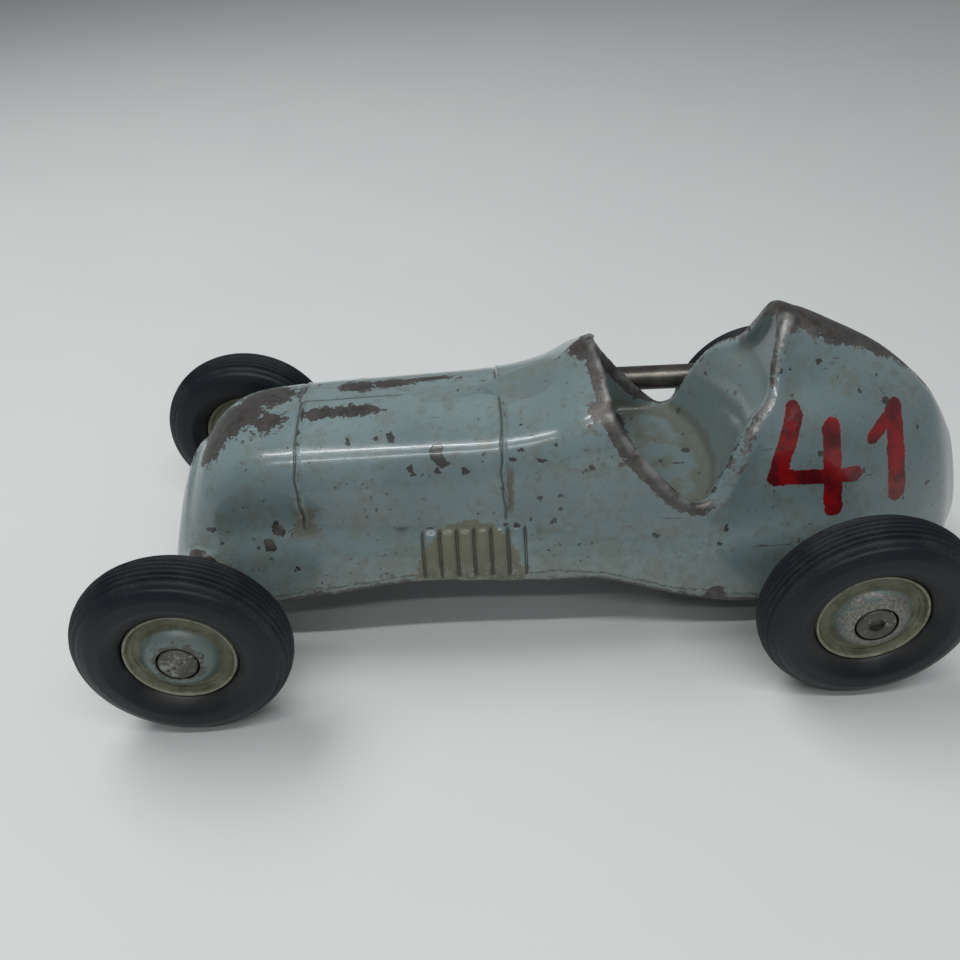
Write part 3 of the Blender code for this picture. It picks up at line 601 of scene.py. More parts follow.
def carve(obj, outside):
    """Presses the bonnet seams and the louvres into the outer face."""
    mesh = obj.data
    drawn = to_drawn(coords(mesh))
    x, y, z = drawn.T
    wander = 0.35 * np.sin(z * 0.23 + 1.2 * np.sign(y)) + 0.15 * np.sin(z * 0.9)
    lift = np.zeros(len(x))
    for seam in (FRONT_SEAM, REAR_SEAM):
        off = x - seam - wander
        reach = step_down(-z, -44.5, -42.5) * (np.abs(y) < 30)
        lift += reach * (0.34 * np.exp(-(off / 0.42) ** 2) - 0.42 * np.exp(-((off - 0.95) / 0.36) ** 2))
    along = step_down(np.abs(x - (FRONT_SEAM + REAR_SEAM) / 2), 27.2, 28.0)
    off = y + 0.12 * np.sin(x * 0.35)
    lift += along * (z > 60) * (0.14 * np.exp(-((off + 0.75) / 0.4) ** 2) - 0.38 * np.exp(-(off / 0.34) ** 2))
    row = (LOUVRE_FRONT - x) / LOUVRE_PITCH
    nearest = np.clip(np.round(row), 0, LOUVRES - 1)
    off = (row - nearest) * LOUVRE_PITCH
    tall = step_down(z, LOUVRE_TOP - 1.2, LOUVRE_TOP + 1.0)
    tall = tall * step_down(-z, -LOUVRE_FOOT - 1.5, -LOUVRE_FOOT + 0.5)
    side = (np.abs(y) > 24) * tall
    inner = (row > -0.4) * (row < LOUVRES - 0.6)
    pillow = np.cos(np.clip(np.abs(((row % 1) - 0.5)), 0, 0.5) * math.pi) * (row > 0) * (row < LOUVRES - 1)
    lift += side * (inner * -0.85 * np.exp(-(off / 0.42) ** 2) + 0.6 * pillow)
    points = coords(mesh) + normals_of(mesh) * (lift * outside * MM)[:, None]
    mesh.vertices.foreach_set("co", points.astype(np.float32).ravel())
    mesh.update()


def refine(obj, tree):
    """Splits the faces where fine detail follows."""
    bm = bmesh.new()
    bm.from_mesh(obj.data)
    fine = []
    for face in bm.faces:
        spot = to_drawn(np.array(face.calc_center_median())[None])[0]
        x, y, z = spot
        seam = min(abs(x - FRONT_SEAM), abs(x - REAR_SEAM) if abs(y) < 30 else 99)
        on_seam = seam < 2.3 and z > 42.5
        on_ridge = abs(y) < 1.5 and REAR_SEAM - 1 < x < FRONT_SEAM + 1 and z > 62
        on_louvres = -4 < x < 29 and LOUVRE_FOOT - 1.5 < z < LOUVRE_TOP + 1.8 and abs(y) > 24
        if on_seam or on_ridge or on_louvres:
            near = tree.find_nearest(face.calc_center_median())
            if near[3] < 0.9 * MM:
                fine.append(face)
    edges = list({edge for face in fine for edge in face.edges})
    bmesh.ops.subdivide_edges(bm, edges=edges, cuts=2, use_grid_fill=True)
    bmesh.ops.triangulate(bm, faces=[f for f in bm.faces if len(f.verts) > 4])
    bm.to_mesh(obj.data)
    bm.free()


def softened(points, edges, tree):
    """Rounds the corner where each end's dome begins, and runs the rim's bead into the walls."""
    x = to_drawn(points)[:, 0]
    nose = SECTIONS[0][0]
    tail = SECTIONS[-1][0]
    ends = np.maximum(1 - step_down(x, nose - 8, nose - 2), step_down(x, tail + 2, tail + 8))
    rim = rim_distance(points, tree)
    round_ends = spread(points, edges, len(points), 60)
    blended = spread(points, edges, len(points), 7)
    points = points + (round_ends - points) * ends[:, None]
    return points + (blended - points) * (step_down(rim, 4, 7) * (1 - ends))[:, None]


def rim_distance(points, tree):
    """Distance to the cockpit opening's edge on either side, in millimetres."""
    rim = opening_edge(tree)
    near = np.full(len(points), 99.0)
    for spot in np.concatenate((rim, rim * (1, -1, 1))):
        near = np.minimum(near, np.linalg.norm(points - spot, axis=1) / MM)
    return near


def pipe_path():
    """Middle line of the exhaust pipe, from its elbow in the bonnet side to its open rear end."""
    low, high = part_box("exhaust_pipe")
    y = low.y + PIPE_RADIUS * MM
    clip = middle_of("front_pipe_clip")
    top = high.z - PIPE_RADIUS * MM
    bend = high.x - (high.x - clip.x) * PIPE_ELBOW_SHARE
    entry_x = high.x - 1.6 * MM
    entry_y = high.y - 0.6 * PIPE_RADIUS * MM
    elbow = []
    for turn in np.linspace(0, 1, 17):
        bow = turn * turn * (3 - 2 * turn)
        elbow.append((entry_x + (bend - entry_x) * turn, entry_y + (y - entry_y) * bow, top))
    straight = [(bend + (low.x - bend) * t, y, top - PIPE_FALL * MM * t) for t in np.linspace(0.04, 1, 26)]
    return np.array([*elbow, *straight])


def cockpit_opening():
    """A block with the opening's outline in side view, right across the car."""
    edge = spline((*COWL_LIP, *SILL, *FAIRING_EDGE), np.linspace(0, 14, 60))
    outline = [(edge[0][0], 105.0), *edge, (edge[-1][0], 105.0)]
    bm = bmesh.new()
    verts = [bm.verts.new(to_car((x, -40.0, z))) for x, z in outline]
    face = bm.faces.new(verts)
    grown = bmesh.ops.extrude_face_region(bm, geom=[face])["geom"]
    moved = [item for item in grown if isinstance(item, bmesh.types.BMVert)]
    bmesh.ops.translate(bm, verts=moved, vec=(0, 2 * BODY_HIGH.y + 14 * MM, 0))
    bmesh.ops.triangulate(bm, faces=[f for f in bm.faces if len(f.verts) > 4])
    bmesh.ops.recalc_face_normals(bm, faces=bm.faces)
    return object_of("opening", bm)


def make_body():
    """The casting, and a tree of its outer face alone."""
    outer = body_solid("body")
    tree = BVHTree.FromObject(outer, bpy.context.evaluated_depsgraph_get())
    cut(outer, body_solid("cavity", WALL, CAVITY_NOSE, len(SECTIONS) - CAVITY_TAIL, 20.0))
    cut(outer, cockpit_opening())
    tub = cut(seat_tub(), body_solid("core", WALL / 2), "INTERSECT")
    pieces = [outer, tub, rim_bead(tree)]
    for axle in (FRONT_AXLE, REAR_AXLE):
        for side in (1, -1):
            face = side_hit(tree, axle.x, axle.z, side).y
            start = (axle.x, face - side * BOSS_DEPTH * MM, axle.z)
            reach = side_hit(tree, axle.x, axle.z - 5 * MM, side).y
            pieces.append(rod("boss", BOSS_RADIUS * MM, start, (axle.x, reach, axle.z)))
    bpy.context.view_layer.update()
    with bpy.context.temp_override(active_object=outer, selected_editable_objects=pieces):
        bpy.ops.object.join()
    skin = outer.modifiers.new("skin", "REMESH")
    skin.mode = "VOXEL"
    skin.voxel_size = VOXEL * MM
    skin.use_smooth_shade = True
    applied(outer)
    drills = [rod("drill", BOSS_HOLE * MM, (axle.x, -0.05, axle.z), (axle.x, 0.05, axle.z))
              for axle in (FRONT_AXLE, REAR_AXLE)]
    port = bar("port", pipe_path()[:PORT_POINTS], (PIPE_RADIUS + PORT_GAP) * MM, 32)
    mesh = outer.data
    edges = edges_of(mesh)
    points = softened(spread(coords(mesh), edges, len(mesh.vertices), 3), edges, tree)
    mesh.vertices.foreach_set("co", points.astype(np.float32).ravel())
    mesh.update()
    for cutter in (*drills, port):
        cut(outer, cutter)
    refine(outer, tree)
    return outer, tree


body, body_tree = make_body()


def thin_inside(obj, tree):
    """Halves the number of faces on the hidden inner face of the casting."""
    points = coords(obj.data)
    hidden = obj.vertex_groups.new(name="hidden")
    drawn = to_drawn(points)
    near_seat = (drawn[:, 0] < -18) & (drawn[:, 0] > -82) & (drawn[:, 2] > 41)
    depth = np.array([tree.find_nearest(Vector(p))[3] for p in points])
    rows = np.nonzero((depth > 1.7 * MM) & ~near_seat)[0]
    hidden.add(rows.tolist(), 1.0, "REPLACE")
    thin = obj.modifiers.new("thin", "DECIMATE")
    thin.ratio = 0.63
    thin.vertex_group = "hidden"
    thin.vertex_group_factor = 1000
    applied(obj)
    obj.vertex_groups.clear()


# Worn places in drawn millimetres: x, y, z, then the reach along x, y and z, and how badly worn.
WORN = (
    (78, 3, 64, 13, 9, 9, 1.0),
    (84, 8, 61, 8, 7, 8, 0.9),
    (68, -6, 67, 10, 8, 6, 1.0),
    (66, 8, 66, 7, 6, 5, 0.75),
    (52, 6.5, 68, 8, 3.6, 5, 0.95),
    (43, 6.5, 68, 9, 3.4, 5, 0.95),
    (43, -7, 68.5, 7, 5, 5, 0.9),
    (34, -7.5, 68.5, 8, 4.4, 5, 0.9),
    (22, -8.5, 68.5, 9, 2.6, 5, 0.75),
    (12, -7.5, 69.5, 5, 2, 5, 0.5),
    (-6, -3, 73, 5, 2.2, 5, 0.7),
    (-11, 3, 75, 3, 2.4, 5, 0.6),
    (-15, 9, 74, 4, 2, 5, 0.55),
    (-20, 2, 83, 4, 7, 5, 0.8),
    (-22, 20, 73, 3, 3, 4, 0.75),
    (-78, 0, 88, 10, 9, 6, 1.0),
    (-88, 2, 84, 11, 7.5, 6, 1.0),
    (-99, 1, 78, 9, 5, 5, 0.9),
    (-108, 0, 73, 9, 4, 5, 0.75),
    (-117, 0, 66, 8, 3, 6, 0.6),
    (-55.5, 33, 17, 3.0, 3, 3.2, 0.85),
    (60, -24, 45, 4, 4, 3, 0.7),
    (20, -26, 44, 6, 4, 2, 0.7),
    (-70, -30, 38, 5, 4, 3, 0.8),
    (-40, -28, 48, 4, 4, 3, 0.7),
    (95, 0, 50, 5, 8, 7, 0.6),
    (99, -6, 30, 4, 7, 6, 0.6),
)


def measure_body(obj, tree):
    """Numbers for the paint: wear, nearness of the rim, height over the lower edge, bulges and the inside."""
    mesh = obj.data
    points = coords(mesh)
    drawn = to_drawn(points)
    x, y, z = drawn.T
    worn = np.zeros(len(x))
    for cx, cy, cz, rx, ry, rz, much in WORN:
        far = np.sqrt(((x - cx) / rx) ** 2 + ((y - cy) / ry) ** 2 + ((z - cz) / rz) ** 2)
        worn = np.maximum(worn, much * np.clip(1.25 - far, 0, 1))
    planes = [section[0] for section in SECTIONS][::-1]
    lower = [section[-1][1] for section in SECTIONS][::-1]
    edges = edges_of(mesh)
    soft = spread(points, edges, len(x), 9)
    bulge = ((points - soft) * normals_of(mesh)).sum(axis=1) / MM
    depth = np.array([tree.find_nearest(Vector(p))[3] for p in points]) / MM
    note(obj, "worn", worn)
    note(obj, "rim", rim_distance(points, tree))
    note(obj, "low", z - np.interp(x, planes, lower))
    note(obj, "bulge", bulge)
    note(obj, "depth", depth)


# Larger chips on the left side, dark ones and bare ones: x and z, then the reach along x and z.
CHIPS = (
    ((20.7, 62.4), (1.9, 2.4)), ((19.4, 60.6), (1.5, 1.3)), ((28.2, 59.6), (1.1, 0.8)),
    ((-29.5, 63.0), (2.6, 1.5)), ((-31.0, 61.4), (1.3, 0.9)), ((13.4, 58.6), (0.9, 0.8)),
    ((-6.8, 60.8), (1.2, 0.6)), ((-1.5, 63.2), (0.8, 0.6)), ((44.5, 65.2), (1.0, 0.8)),
    ((33.0, 65.4), (1.2, 0.8)), ((-38.0, 36.8), (0.8, 0.7)), ((-57.6, 38.2), (0.8, 0.7)),
    ((66.0, 44.4), (1.4, 1.1)), ((85.0, 42.0), (1.6, 0.9)), ((-12.0, 46.0), (0.7, 0.6)),
)
BARE_CHIPS = (
    ((65.6, 43.0), (1.6, 1.5)), ((68.6, 39.3), (1.7, 1.8)), ((-55.4, 17.6), (2.6, 2.6)),
    ((-28.0, 60.2), (1.2, 0.8)),
)


def spots(paint, x, z, places, ragged):
    """Torn patches round the given places."""
    nearest = None
    for (cx, cz), (rx, rz) in places:
        dx = (x - cx) / rx
        dz = (z - cz) / rz
        gap = ((dx * dx + dz * dz).maths("SQRT") - 1) * min(rx, rz)
        nearest = gap if nearest is None else nearest.smaller(gap)
    return (nearest + (ragged - 0.5) * 1.5).between(0.08, -0.08)


def make_enamel():
    """Blue-grey enamel over grey cast metal, chipped and worn, with a hand-painted racing number."""
    paint = Finish("body_enamel")
    x, y, z = paint.axes()
    x = x - MIDDLE_X / MM
    worn = paint.number("worn")
    rim = paint.number("rim")
    low = paint.number("low")
    bulge = paint.number("bulge")
    depth = paint.number("depth")
    coarse = paint.grain(7, 4)
    ragged = paint.grain(2.6, 5, 0.6)
    fine = paint.grain(0.9, 4, 0.65)
    side = y.absolute()

    # Bare metal: worn patches, raised edges and small chips.
    shreds = paint.grain(1.3, 6, 0.7)
    field = worn + (ragged - 0.5) * 0.95 + (shreds - 0.5) * 1.0 + (coarse - 0.5) * 0.35 + bulge * 1.6
    patches = field.between(0.475, 0.49)
    halo = field.between(0.43, 0.475) - field.between(0.49, 0.53)
    rear = x.between(-50, -56)
    sill = x.between(-40, -46) * (1 - rear)
    lip = paint.blend(rim.between(5.4, 3.0) * 0.72, rim.between(3.4, 1.4) * 0.27, rear)
    lip = lip - sill * rim.between(1.5, 3.5) * 0.3
    lip = lip + bulge.smaller(0.3) * 0.6 + (ragged - 0.5) * 0.8 + (shreds - 0.5) * 0.45
    lips = lip.between(0.6, 0.63)
    torn = paint.torn(1.4, 2.4)
    luck = paint.cells(3.4, where=torn, out="Color") + z.between(56, 66) * 0.035
    flecks = paint.cells(3.4, where=torn)
    chip_a = (flecks + (shreds - 0.5) * 0.25 - (luck - 0.64) * 0.9).between(0.02, -0.01)
    tear = paint.node("ShaderNodeSeparateXYZ", None, {"Vector": paint.torn(2.2, 3.0)}).socket.node
    torn_x = Value(paint, tear.outputs[0]) / MM - MIDDLE_X / MM
    torn_z = Value(paint, tear.outputs[2]) / MM
    outer_left = y.between(0, 4) * depth.between(0.9, 0.5)
    chip_b = spots(paint, torn_x, torn_z, CHIPS, shreds) * outer_left
    bare_b = spots(paint, torn_x, torn_z, BARE_CHIPS, shreds) * outer_left
    pin_luck = paint.cells(1.5, where=torn, out="Color")
    pins = (paint.cells(1.5, where=torn) + (fine - 0.5) * 0.3 - (pin_luck - 0.62) * 1.2).between(0.03, -0.02)
    pins = pins * (coarse + low.between(25, 5) * 0.08).between(0.46, 0.6)
    scratch = paint.grain(1.4, 2, 0.5, paint.stretched((0.08, 1, 1), (0.3, 0.5, 0.9)))
    scratches = scratch.between(0.73, 0.745)
    bare = patches.larger(lips).larger(bare_b)

    # The putty over the louvres, dirt that has settled in the hollows and along the lower edge, painted shade
    # in the seam, ridge and louvre grooves, and the seat's hole and slot painted dark as shade.
    louvre_x = (x - (LOUVRE_FRONT - LOUVRE_PITCH * (LOUVRES - 1) / 2 + 1.6)) / 15.4
    louvre_z = ((z - 27) / 16.6).larger(0.0)
    putty_shape = 1 - louvre_x * louvre_x - louvre_z * louvre_z
    putty = (putty_shape + (ragged - 0.5) * 0.5 + (fine - 0.5) * 0.3).between(0.0, 0.03)
    putty = putty * side.between(20, 24) * low.between(0.2, 1.0) * depth.between(1.2, 0.6)
    chips = chip_a.larger(chip_b).larger(scratches * 0.5).larger(pins * 0.75) * (1 - bare) * (1 - putty)
    crust = z.between(34, 29) * (ragged + fine).between(0.98, 1.12) * louvre_x.absolute().between(1.25, 0.9)
    crust = crust * side.between(20, 24) * depth.between(0.8, 0.3)
    seam_x = (x - REAR_SEAM + 0.9).absolute()
    streak = (seam_x + (ragged - 0.5) * 3.4 + (fine - 0.5) * 1.5).between(1.1, 0.7) * z.between(44, 48)
    streak = streak * z.between(61, 57)
    foot_x = (x - FRONT_SEAM).absolute()
    foot = ((foot_x - (46 - z).absolute() * 0.55) + (fine - 0.5) * 12 + (ragged - 0.5) * 7).between(2.6, 1.6)
    foot = foot * z.between(40, 43) * z.between(51, 48)
    line = ((low - 3.4 - (coarse - 0.5) * 3.2).absolute() + (fine - 0.5) * 1.3).between(0.55, 0.15)
    line = line * depth.between(0.8, 0.3) * shreds.between(0.4, 0.52)
    edge_dirt = (low + (ragged - 0.5) * 5).between(3.0, 0.4)
    hollow = (bulge * -5.0 + (coarse - 0.5) * 0.6 + (ragged - 0.5) * 0.5).between(0.2, 0.75)
    seams = (x - FRONT_SEAM).absolute().smaller((x - REAR_SEAM).absolute()).between(2.4, 1.6)
    seams = seams * z.between(42, 44)
    ridge = side.between(1.6, 1.0) * z.between(60, 63) * (x - 30).absolute().between(28.5, 27.5)
    louvres = louvre_x.absolute().between(1.35, 1.2) * z.between(43, 42) * side.between(20, 24)
    # Painted shade: the concave lines of the seams, the ridge and the louvre slits are marked for darkening.
    painted_groove_shade = bulge.between(-0.03, -0.12) * seams.larger(ridge).larger(louvres) * depth.between(1.0, 0.6)
    seat = z.between(52, 45) * rim.between(1.5, 4.0) * depth.between(1.2, 2.4)
    # Painted shade: the seat's small hole and its slot are not cut, only painted near-black as the shade of
    # their openings.
    hole_x = x + 52.3
    hole_y = y + 1.7
    painted_hole_shade = ((hole_x * hole_x + hole_y * hole_y).maths("SQRT") + (shreds - 0.5) * 1.6).between(1.5, 1.1)
    slot_x = (x + 48.8).absolute() - 1.6
    slot_y = (y - 4.8).absolute() - 0.2
    painted_hole_shade = painted_hole_shade.larger((slot_x.larger(slot_y) + (shreds - 0.5) * 1.2).between(0.3, 0.0)) * seat
    stain = ((coarse - 0.5) * 1.6 + seat * 0.42 + bulge * -2.5).between(0.3, 0.75) * seat
    olive = (streak.larger(foot) * 0.95).larger(line * 0.9).larger(hollow * 0.12).larger(stain * 0.7)
    olive = olive.larger(edge_dirt * 0.4)

    # Colours, from the metal upwards.
    cloud = paint.grain(28, 3)
    enamel = paint.mix((0.128, 0.18, 0.189), (0.16, 0.217, 0.222), cloud.between(0.35, 0.65))
    enamel = paint.mix(enamel, (0.2, 0.25, 0.232), low.between(16, 2) * 0.55)
    enamel = paint.mix(enamel, (0.11, 0.145, 0.145), (fine * ragged).between(0.28, 0.42) * 0.5)
    # Painted shade: the enamel is darker on the inner faces, away from the outer skin, in the cockpit and under
    # the cowl.
    enamel = paint.mix(enamel, (0.09, 0.125, 0.125), depth.between(1.0, 3.0) * 0.6)
    film = (coarse * 0.6 + ragged * 0.6 + low.between(30, 4) * 0.05).between(0.56, 0.74)
    enamel = paint.mix(enamel, (0.125, 0.14, 0.11), film * 0.5)
    metal = paint.mix((0.085, 0.079, 0.075), (0.15, 0.141, 0.135), ragged.between(0.3, 0.7))
    polish = bulge.between(0.1, 0.3) * rim.between(3.6, 1.2) * coarse.between(0.42, 0.6)
    shiny = paint.mix(metal, (0.36, 0.36, 0.35), polish)
    number = number_mask(paint, x, y, z, fine, ragged) * depth.between(0.9, 0.5)
    red = paint.mix((0.24, 0.006, 0.008), (0.085, 0.005, 0.008), coarse.between(0.35, 0.6))
    colour = paint.mix(enamel, (0.075, 0.068, 0.04), olive * 0.8)
    colour = paint.mix(colour, paint.mix((0.085, 0.09, 0.06), (0.15, 0.15, 0.105), ragged), putty)
    colour = paint.mix(colour, (0.27, 0.27, 0.235), crust * 0.7)
    # Painted shade: near-black in the seam, ridge and louvre grooves.
    colour = paint.mix(colour, (0.04, 0.04, 0.034), painted_groove_shade * 0.75)
    colour = paint.mix(colour, red, number)
    # Dark chips, and painted shade in the seat's hole and slot.
    colour = paint.mix(colour, (0.04, 0.04, 0.038), chips.larger(painted_hole_shade))
    colour = paint.mix(colour, (0.06, 0.065, 0.065), halo * 0.4)
    colour = paint.mix(colour, shiny, bare)
    inside = depth.between(1.4, 2.2) * (1 - seat) * z.between(47, 43)
    rough_cast = paint.mix((0.1, 0.1, 0.095), (0.17, 0.165, 0.15), coarse.between(0.3, 0.7))
    colour = paint.mix(colour, rough_cast, inside * 0.85)

    cover = (1 - bare) * (1 - inside)
    rough = paint.blend(0.4 + ragged * 0.15, 0.16 + cloud * 0.1 + olive * 0.4 + putty * 0.35, cover)
    metallic = bare * 0.75
    relief = paint.bump(cloud * 0.6 + coarse * 0.3 + ragged * 0.12, 0.5, 0.6)
    crumbs = (line + crust + putty * shreds) * 0.8
    relief = paint.bump(fine * (bare * (1 - polish) + 0.3) + crumbs, 0.12, 0.7, relief)
    relief = paint.bump((1 - bare.larger(chips)) + number * 0.6, 0.1, 0.8, relief)
    return paint.coat(Base_Color=colour, Roughness=rough, Metallic=metallic, Normal=relief,
                      Coat_Weight=cover * 0.35, Coat_Roughness=0.08)


# The racing number's brush strokes on the left side: start and end as (x, z), and the brush's half-width.
STROKES = (
    ((-73.5, 68.5), (-69.5, 52.5), 2.5),
    ((-69.5, 52.5), (-92.0, 50.5), 2.2),
    ((-84.0, 64.0), (-86.5, 42.5), 2.6),
    ((-97.0, 59.5), (-103.5, 64.0), 2.0),
    ((-103.5, 64.0), (-105.5, 43.5), 2.8),
)


def number_mask(paint, x, y, z, fine, ragged):
    """Where the brush went; it reads the right way round on both sides of the tail."""
    across = y.maths("SIGN")
    middle = sum(start[0] + end[0] for start, end, _ in STROKES) / (2 * len(STROKES))
    u = (x - middle) * across + middle
    nearest = None
    for (x0, z0), (x1, z1), half in STROKES:
        run = Vector((x1 - x0, z1 - z0))
        length = run.length
        run /= length
        du = u - x0
        dz = z - z0
        along = (du * run.x + dz * run.y).larger(0.0).smaller(length)
        gap_u = du - along * run.x
        gap_z = dz - along * run.y
        gap = (gap_u * gap_u + gap_z * gap_z).maths("SQRT") - half
        nearest = gap if nearest is None else nearest.smaller(gap)
    frayed = nearest + (ragged - 0.5) * 1.6 + (fine - 0.5) * 0.9
    return frayed.between(0.12, -0.12)


carve(body, 1.0)
thin_inside(body, body_tree)
measure_body(body, body_tree)
keep(body, make_enamel(), "chassis", ["body_shell"], 0)


# ---------------------------------------------------------------- wheels and axles

TYRE_RADIUS = FRONT_AXLE.z / MM
TYRE_HALF_WIDTH = 7.7
TYRE_SECTION = 9.1
RIM_RADIUS = 14.6
RIM_HALF_WIDTH = 4.4
BARREL_RADIUS = 12.2
DOME_HEIGHT = 2.3
BORE = 2.55
AXLE_RADIUS = 2.4
SCREW_RADIUS = 5.0
CENTRES = {node[:-5]: middle_of(node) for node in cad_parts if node.endswith("_tyre")}


def tread_dip(offset):
    """Depth of the tread's grooves: seven narrow rings and a step at each shoulder."""
    dip = 0.0
    for ring in (-4.2, -2.9, -1.55, 0.0, 1.55, 2.9, 4.2):
        dip += 0.8 * math.exp(-((offset - ring) / 0.34) ** 2)
    shoulder = abs(offset) - 5.95
    return dip + 0.34 * math.exp(-(shoulder / 0.34) ** 2)


def tyre_profile():
    """Balloon section with ribs on the tread and a slight step under each shoulder."""
    bead = [(BARREL_RADIUS + 0.3, 3.1), (RIM_RADIUS + 0.3, 3.1), (RIM_RADIUS + 0.3, 4.3)]
    bead = [(p.x, p.y) for p in rounded([*bead, (RIM_RADIUS + 1.0, 5.4)], 0.3, 3)[3:-3]]
    middle = TYRE_RADIUS - TYRE_SECTION
    wall = [(RIM_RADIUS + 0.55, 4.85), (RIM_RADIUS + 1.3, 5.75), (RIM_RADIUS + 2.6, 6.7)]
    wall.append((middle - 0.6, 7.45))
    for step in range(86):
        bend = math.radians(90 * step / 85)
        offset = TYRE_HALF_WIDTH * math.cos(bend) ** 0.88
        radius = middle + TYRE_SECTION * math.sin(bend) ** 0.9
        lean = math.sin(bend)
        dip = tread_dip(offset) * min(1.0, lean * 1.3) - 0.12 * math.exp(-((radius - 22.6) / 0.7) ** 2)
        wall.append((radius - dip * lean, offset - dip * (1 - lean)))
    half = [(BARREL_RADIUS + 0.3, 3.1), *bead, *wall]
    return half + [(r, -a) for r, a in reversed(half[:-1])]


def outer_profile():
    """Rim lip, dished ring and dome, with the recess for the screw's head."""
    lip = RIM_HALF_WIDTH
    top = lip + DOME_HEIGHT
    recess = SCREW_RADIUS + 0.35
    ring = [
        (RIM_RADIUS - 0.25, lip + 0.15), (RIM_RADIUS - 0.75, lip + 0.12), (RIM_RADIUS - 1.15, lip - 0.45),
        (13.0, lip - 1.0), (12.0, lip - 1.25), (10.9, lip - 1.1), (10.0, lip - 0.45), (9.3, lip + 0.55),
        (8.4, lip + 1.4), (7.3, lip + 1.95), (6.2, lip + 2.2), (recess + 0.25, top),
    ]
    ring = [tuple(p) for p in spline(ring, np.linspace(0, len(ring) - 1, 56))]
    foot = [(BORE, 0.15), (BARREL_RADIUS, 0.15), (BARREL_RADIUS, lip - 1.0), (RIM_RADIUS, lip - 1.0)]
    seat = [(recess, top - 0.3), (recess, top - 2.3), (BORE, top - 2.3)]
    return [*foot, (RIM_RADIUS + 0.02, lip - 0.3), *ring, *seat]


def inner_profile():
    """Inboard half: rim lip, three turned steps and the boss."""
    lip = -RIM_HALF_WIDTH
    steps = [
        (RIM_RADIUS, lip + 1.0), (RIM_RADIUS, lip), (RIM_RADIUS - 1.0, lip), (RIM_RADIUS - 1.7, lip + 0.9),
        (11.6, lip + 0.9), (11.3, lip + 0.45), (10.2, lip + 0.45), (9.9, lip + 0.8), (8.7, lip + 0.8),
        (8.3, lip + 0.3), (7.6, lip + 0.1), (6.1, lip - 1.0), (5.9, -8.6), (BORE, -8.6),
    ]
    steps = [(p.x, p.y) for p in rounded(steps, 0.28, 3)]
    return [(BORE, -0.15), (BARREL_RADIUS, -0.15), (BARREL_RADIUS, lip + 1.0), *steps[4:]]


def screw_profile():
    """Low round head on a plain shank."""
    face = RIM_HALF_WIDTH + DOME_HEIGHT + 0.2
    foot = face - 1.8
    return [(0, face - 0.12), (3.2, face - 0.06), (SCREW_RADIUS - 0.3, face), (SCREW_RADIUS, face - 0.3),
            (SCREW_RADIUS, foot), (1.45, foot), (1.45, foot - 6), (0, foot - 6)]


def outward(profile, side):
    return [(r, side * a) for r, a in profile]


def note_wheel(obj, centre, side):
    """Distance from the axle and from the wheel's middle plane, in millimetres, for the finish."""
    local = (coords(obj.data) - np.array(centre)) / MM
    note(obj, "radius", np.hypot(local[:, 0], local[:, 2]))
    note(obj, "across", local[:, 1] * side)


def slot(middle, length, depth, width, turn=0.0):
    """A cutter for a screwdriver slot, in millimetres, turned about the screw's axis."""
    bm = bmesh.new()
    bmesh.ops.create_cube(bm, size=1)
    bmesh.ops.scale(bm, verts=bm.verts, vec=(length * MM, depth * MM, width * MM))
    bmesh.ops.rotate(bm, verts=bm.verts, matrix=Matrix.Rotation(math.radians(turn), 3, "Y"))
    bmesh.ops.translate(bm, verts=bm.verts, vec=middle)
    return object_of("slot", bm)


def hub_screw(name, centre, side, slotted):
    screw = turned(name, outward(screw_profile(), side), centre, 64, closed=False)
    face = centre.y + side * (RIM_HALF_WIDTH + DOME_HEIGHT + 0.2) * MM
    if slotted:
        return cut(screw, slot((centre.x, face, centre.z), 7.6, 0.9, 1.0, 38))
    inner = (centre.x, face - side * 1.3 * MM, centre.z)
    return cut(screw, rod("socket", 2.3 * MM, inner, (centre.x, face + side * MM, centre.z), 6))


def make_rubber():
    rubber = Finish("tyre_rubber")
    radius = rubber.number("radius")
    across = rubber.number("across")
    tread = across.absolute().between(6.4, 5.6) * radius.between(20, 23)
    dust = rubber.grain(11, 4)
    fine = rubber.grain(0.7, 4, 0.7)
    rings = (radius * 9.0).maths("SINE") * 0.5 + 0.5
    colour = rubber.mix((0.003, 0.0052, 0.0095), (0.0065, 0.009, 0.0135), dust.between(0.35, 0.7))
    powder = (fine * 0.6 + dust * 0.6).between(0.56, 0.8) * (tread * 0.6 + 0.08)
    colour = rubber.mix(colour, (0.05, 0.05, 0.047), powder * 0.5)
    near_rim = radius.between(18.5, 15.0) * dust.between(0.35, 0.6)
    colour = rubber.mix(colour, (0.06, 0.056, 0.038), near_rim * 0.35)
    rough = 0.34 + dust * 0.14 + tread * 0.1 + fine * 0.06
    relief = rubber.bump(fine + rings * 0.12, 0.08, 0.35)
    return rubber.coat(Base_Color=colour, Roughness=rough, Normal=relief, Specular_IOR_Level=0.34)


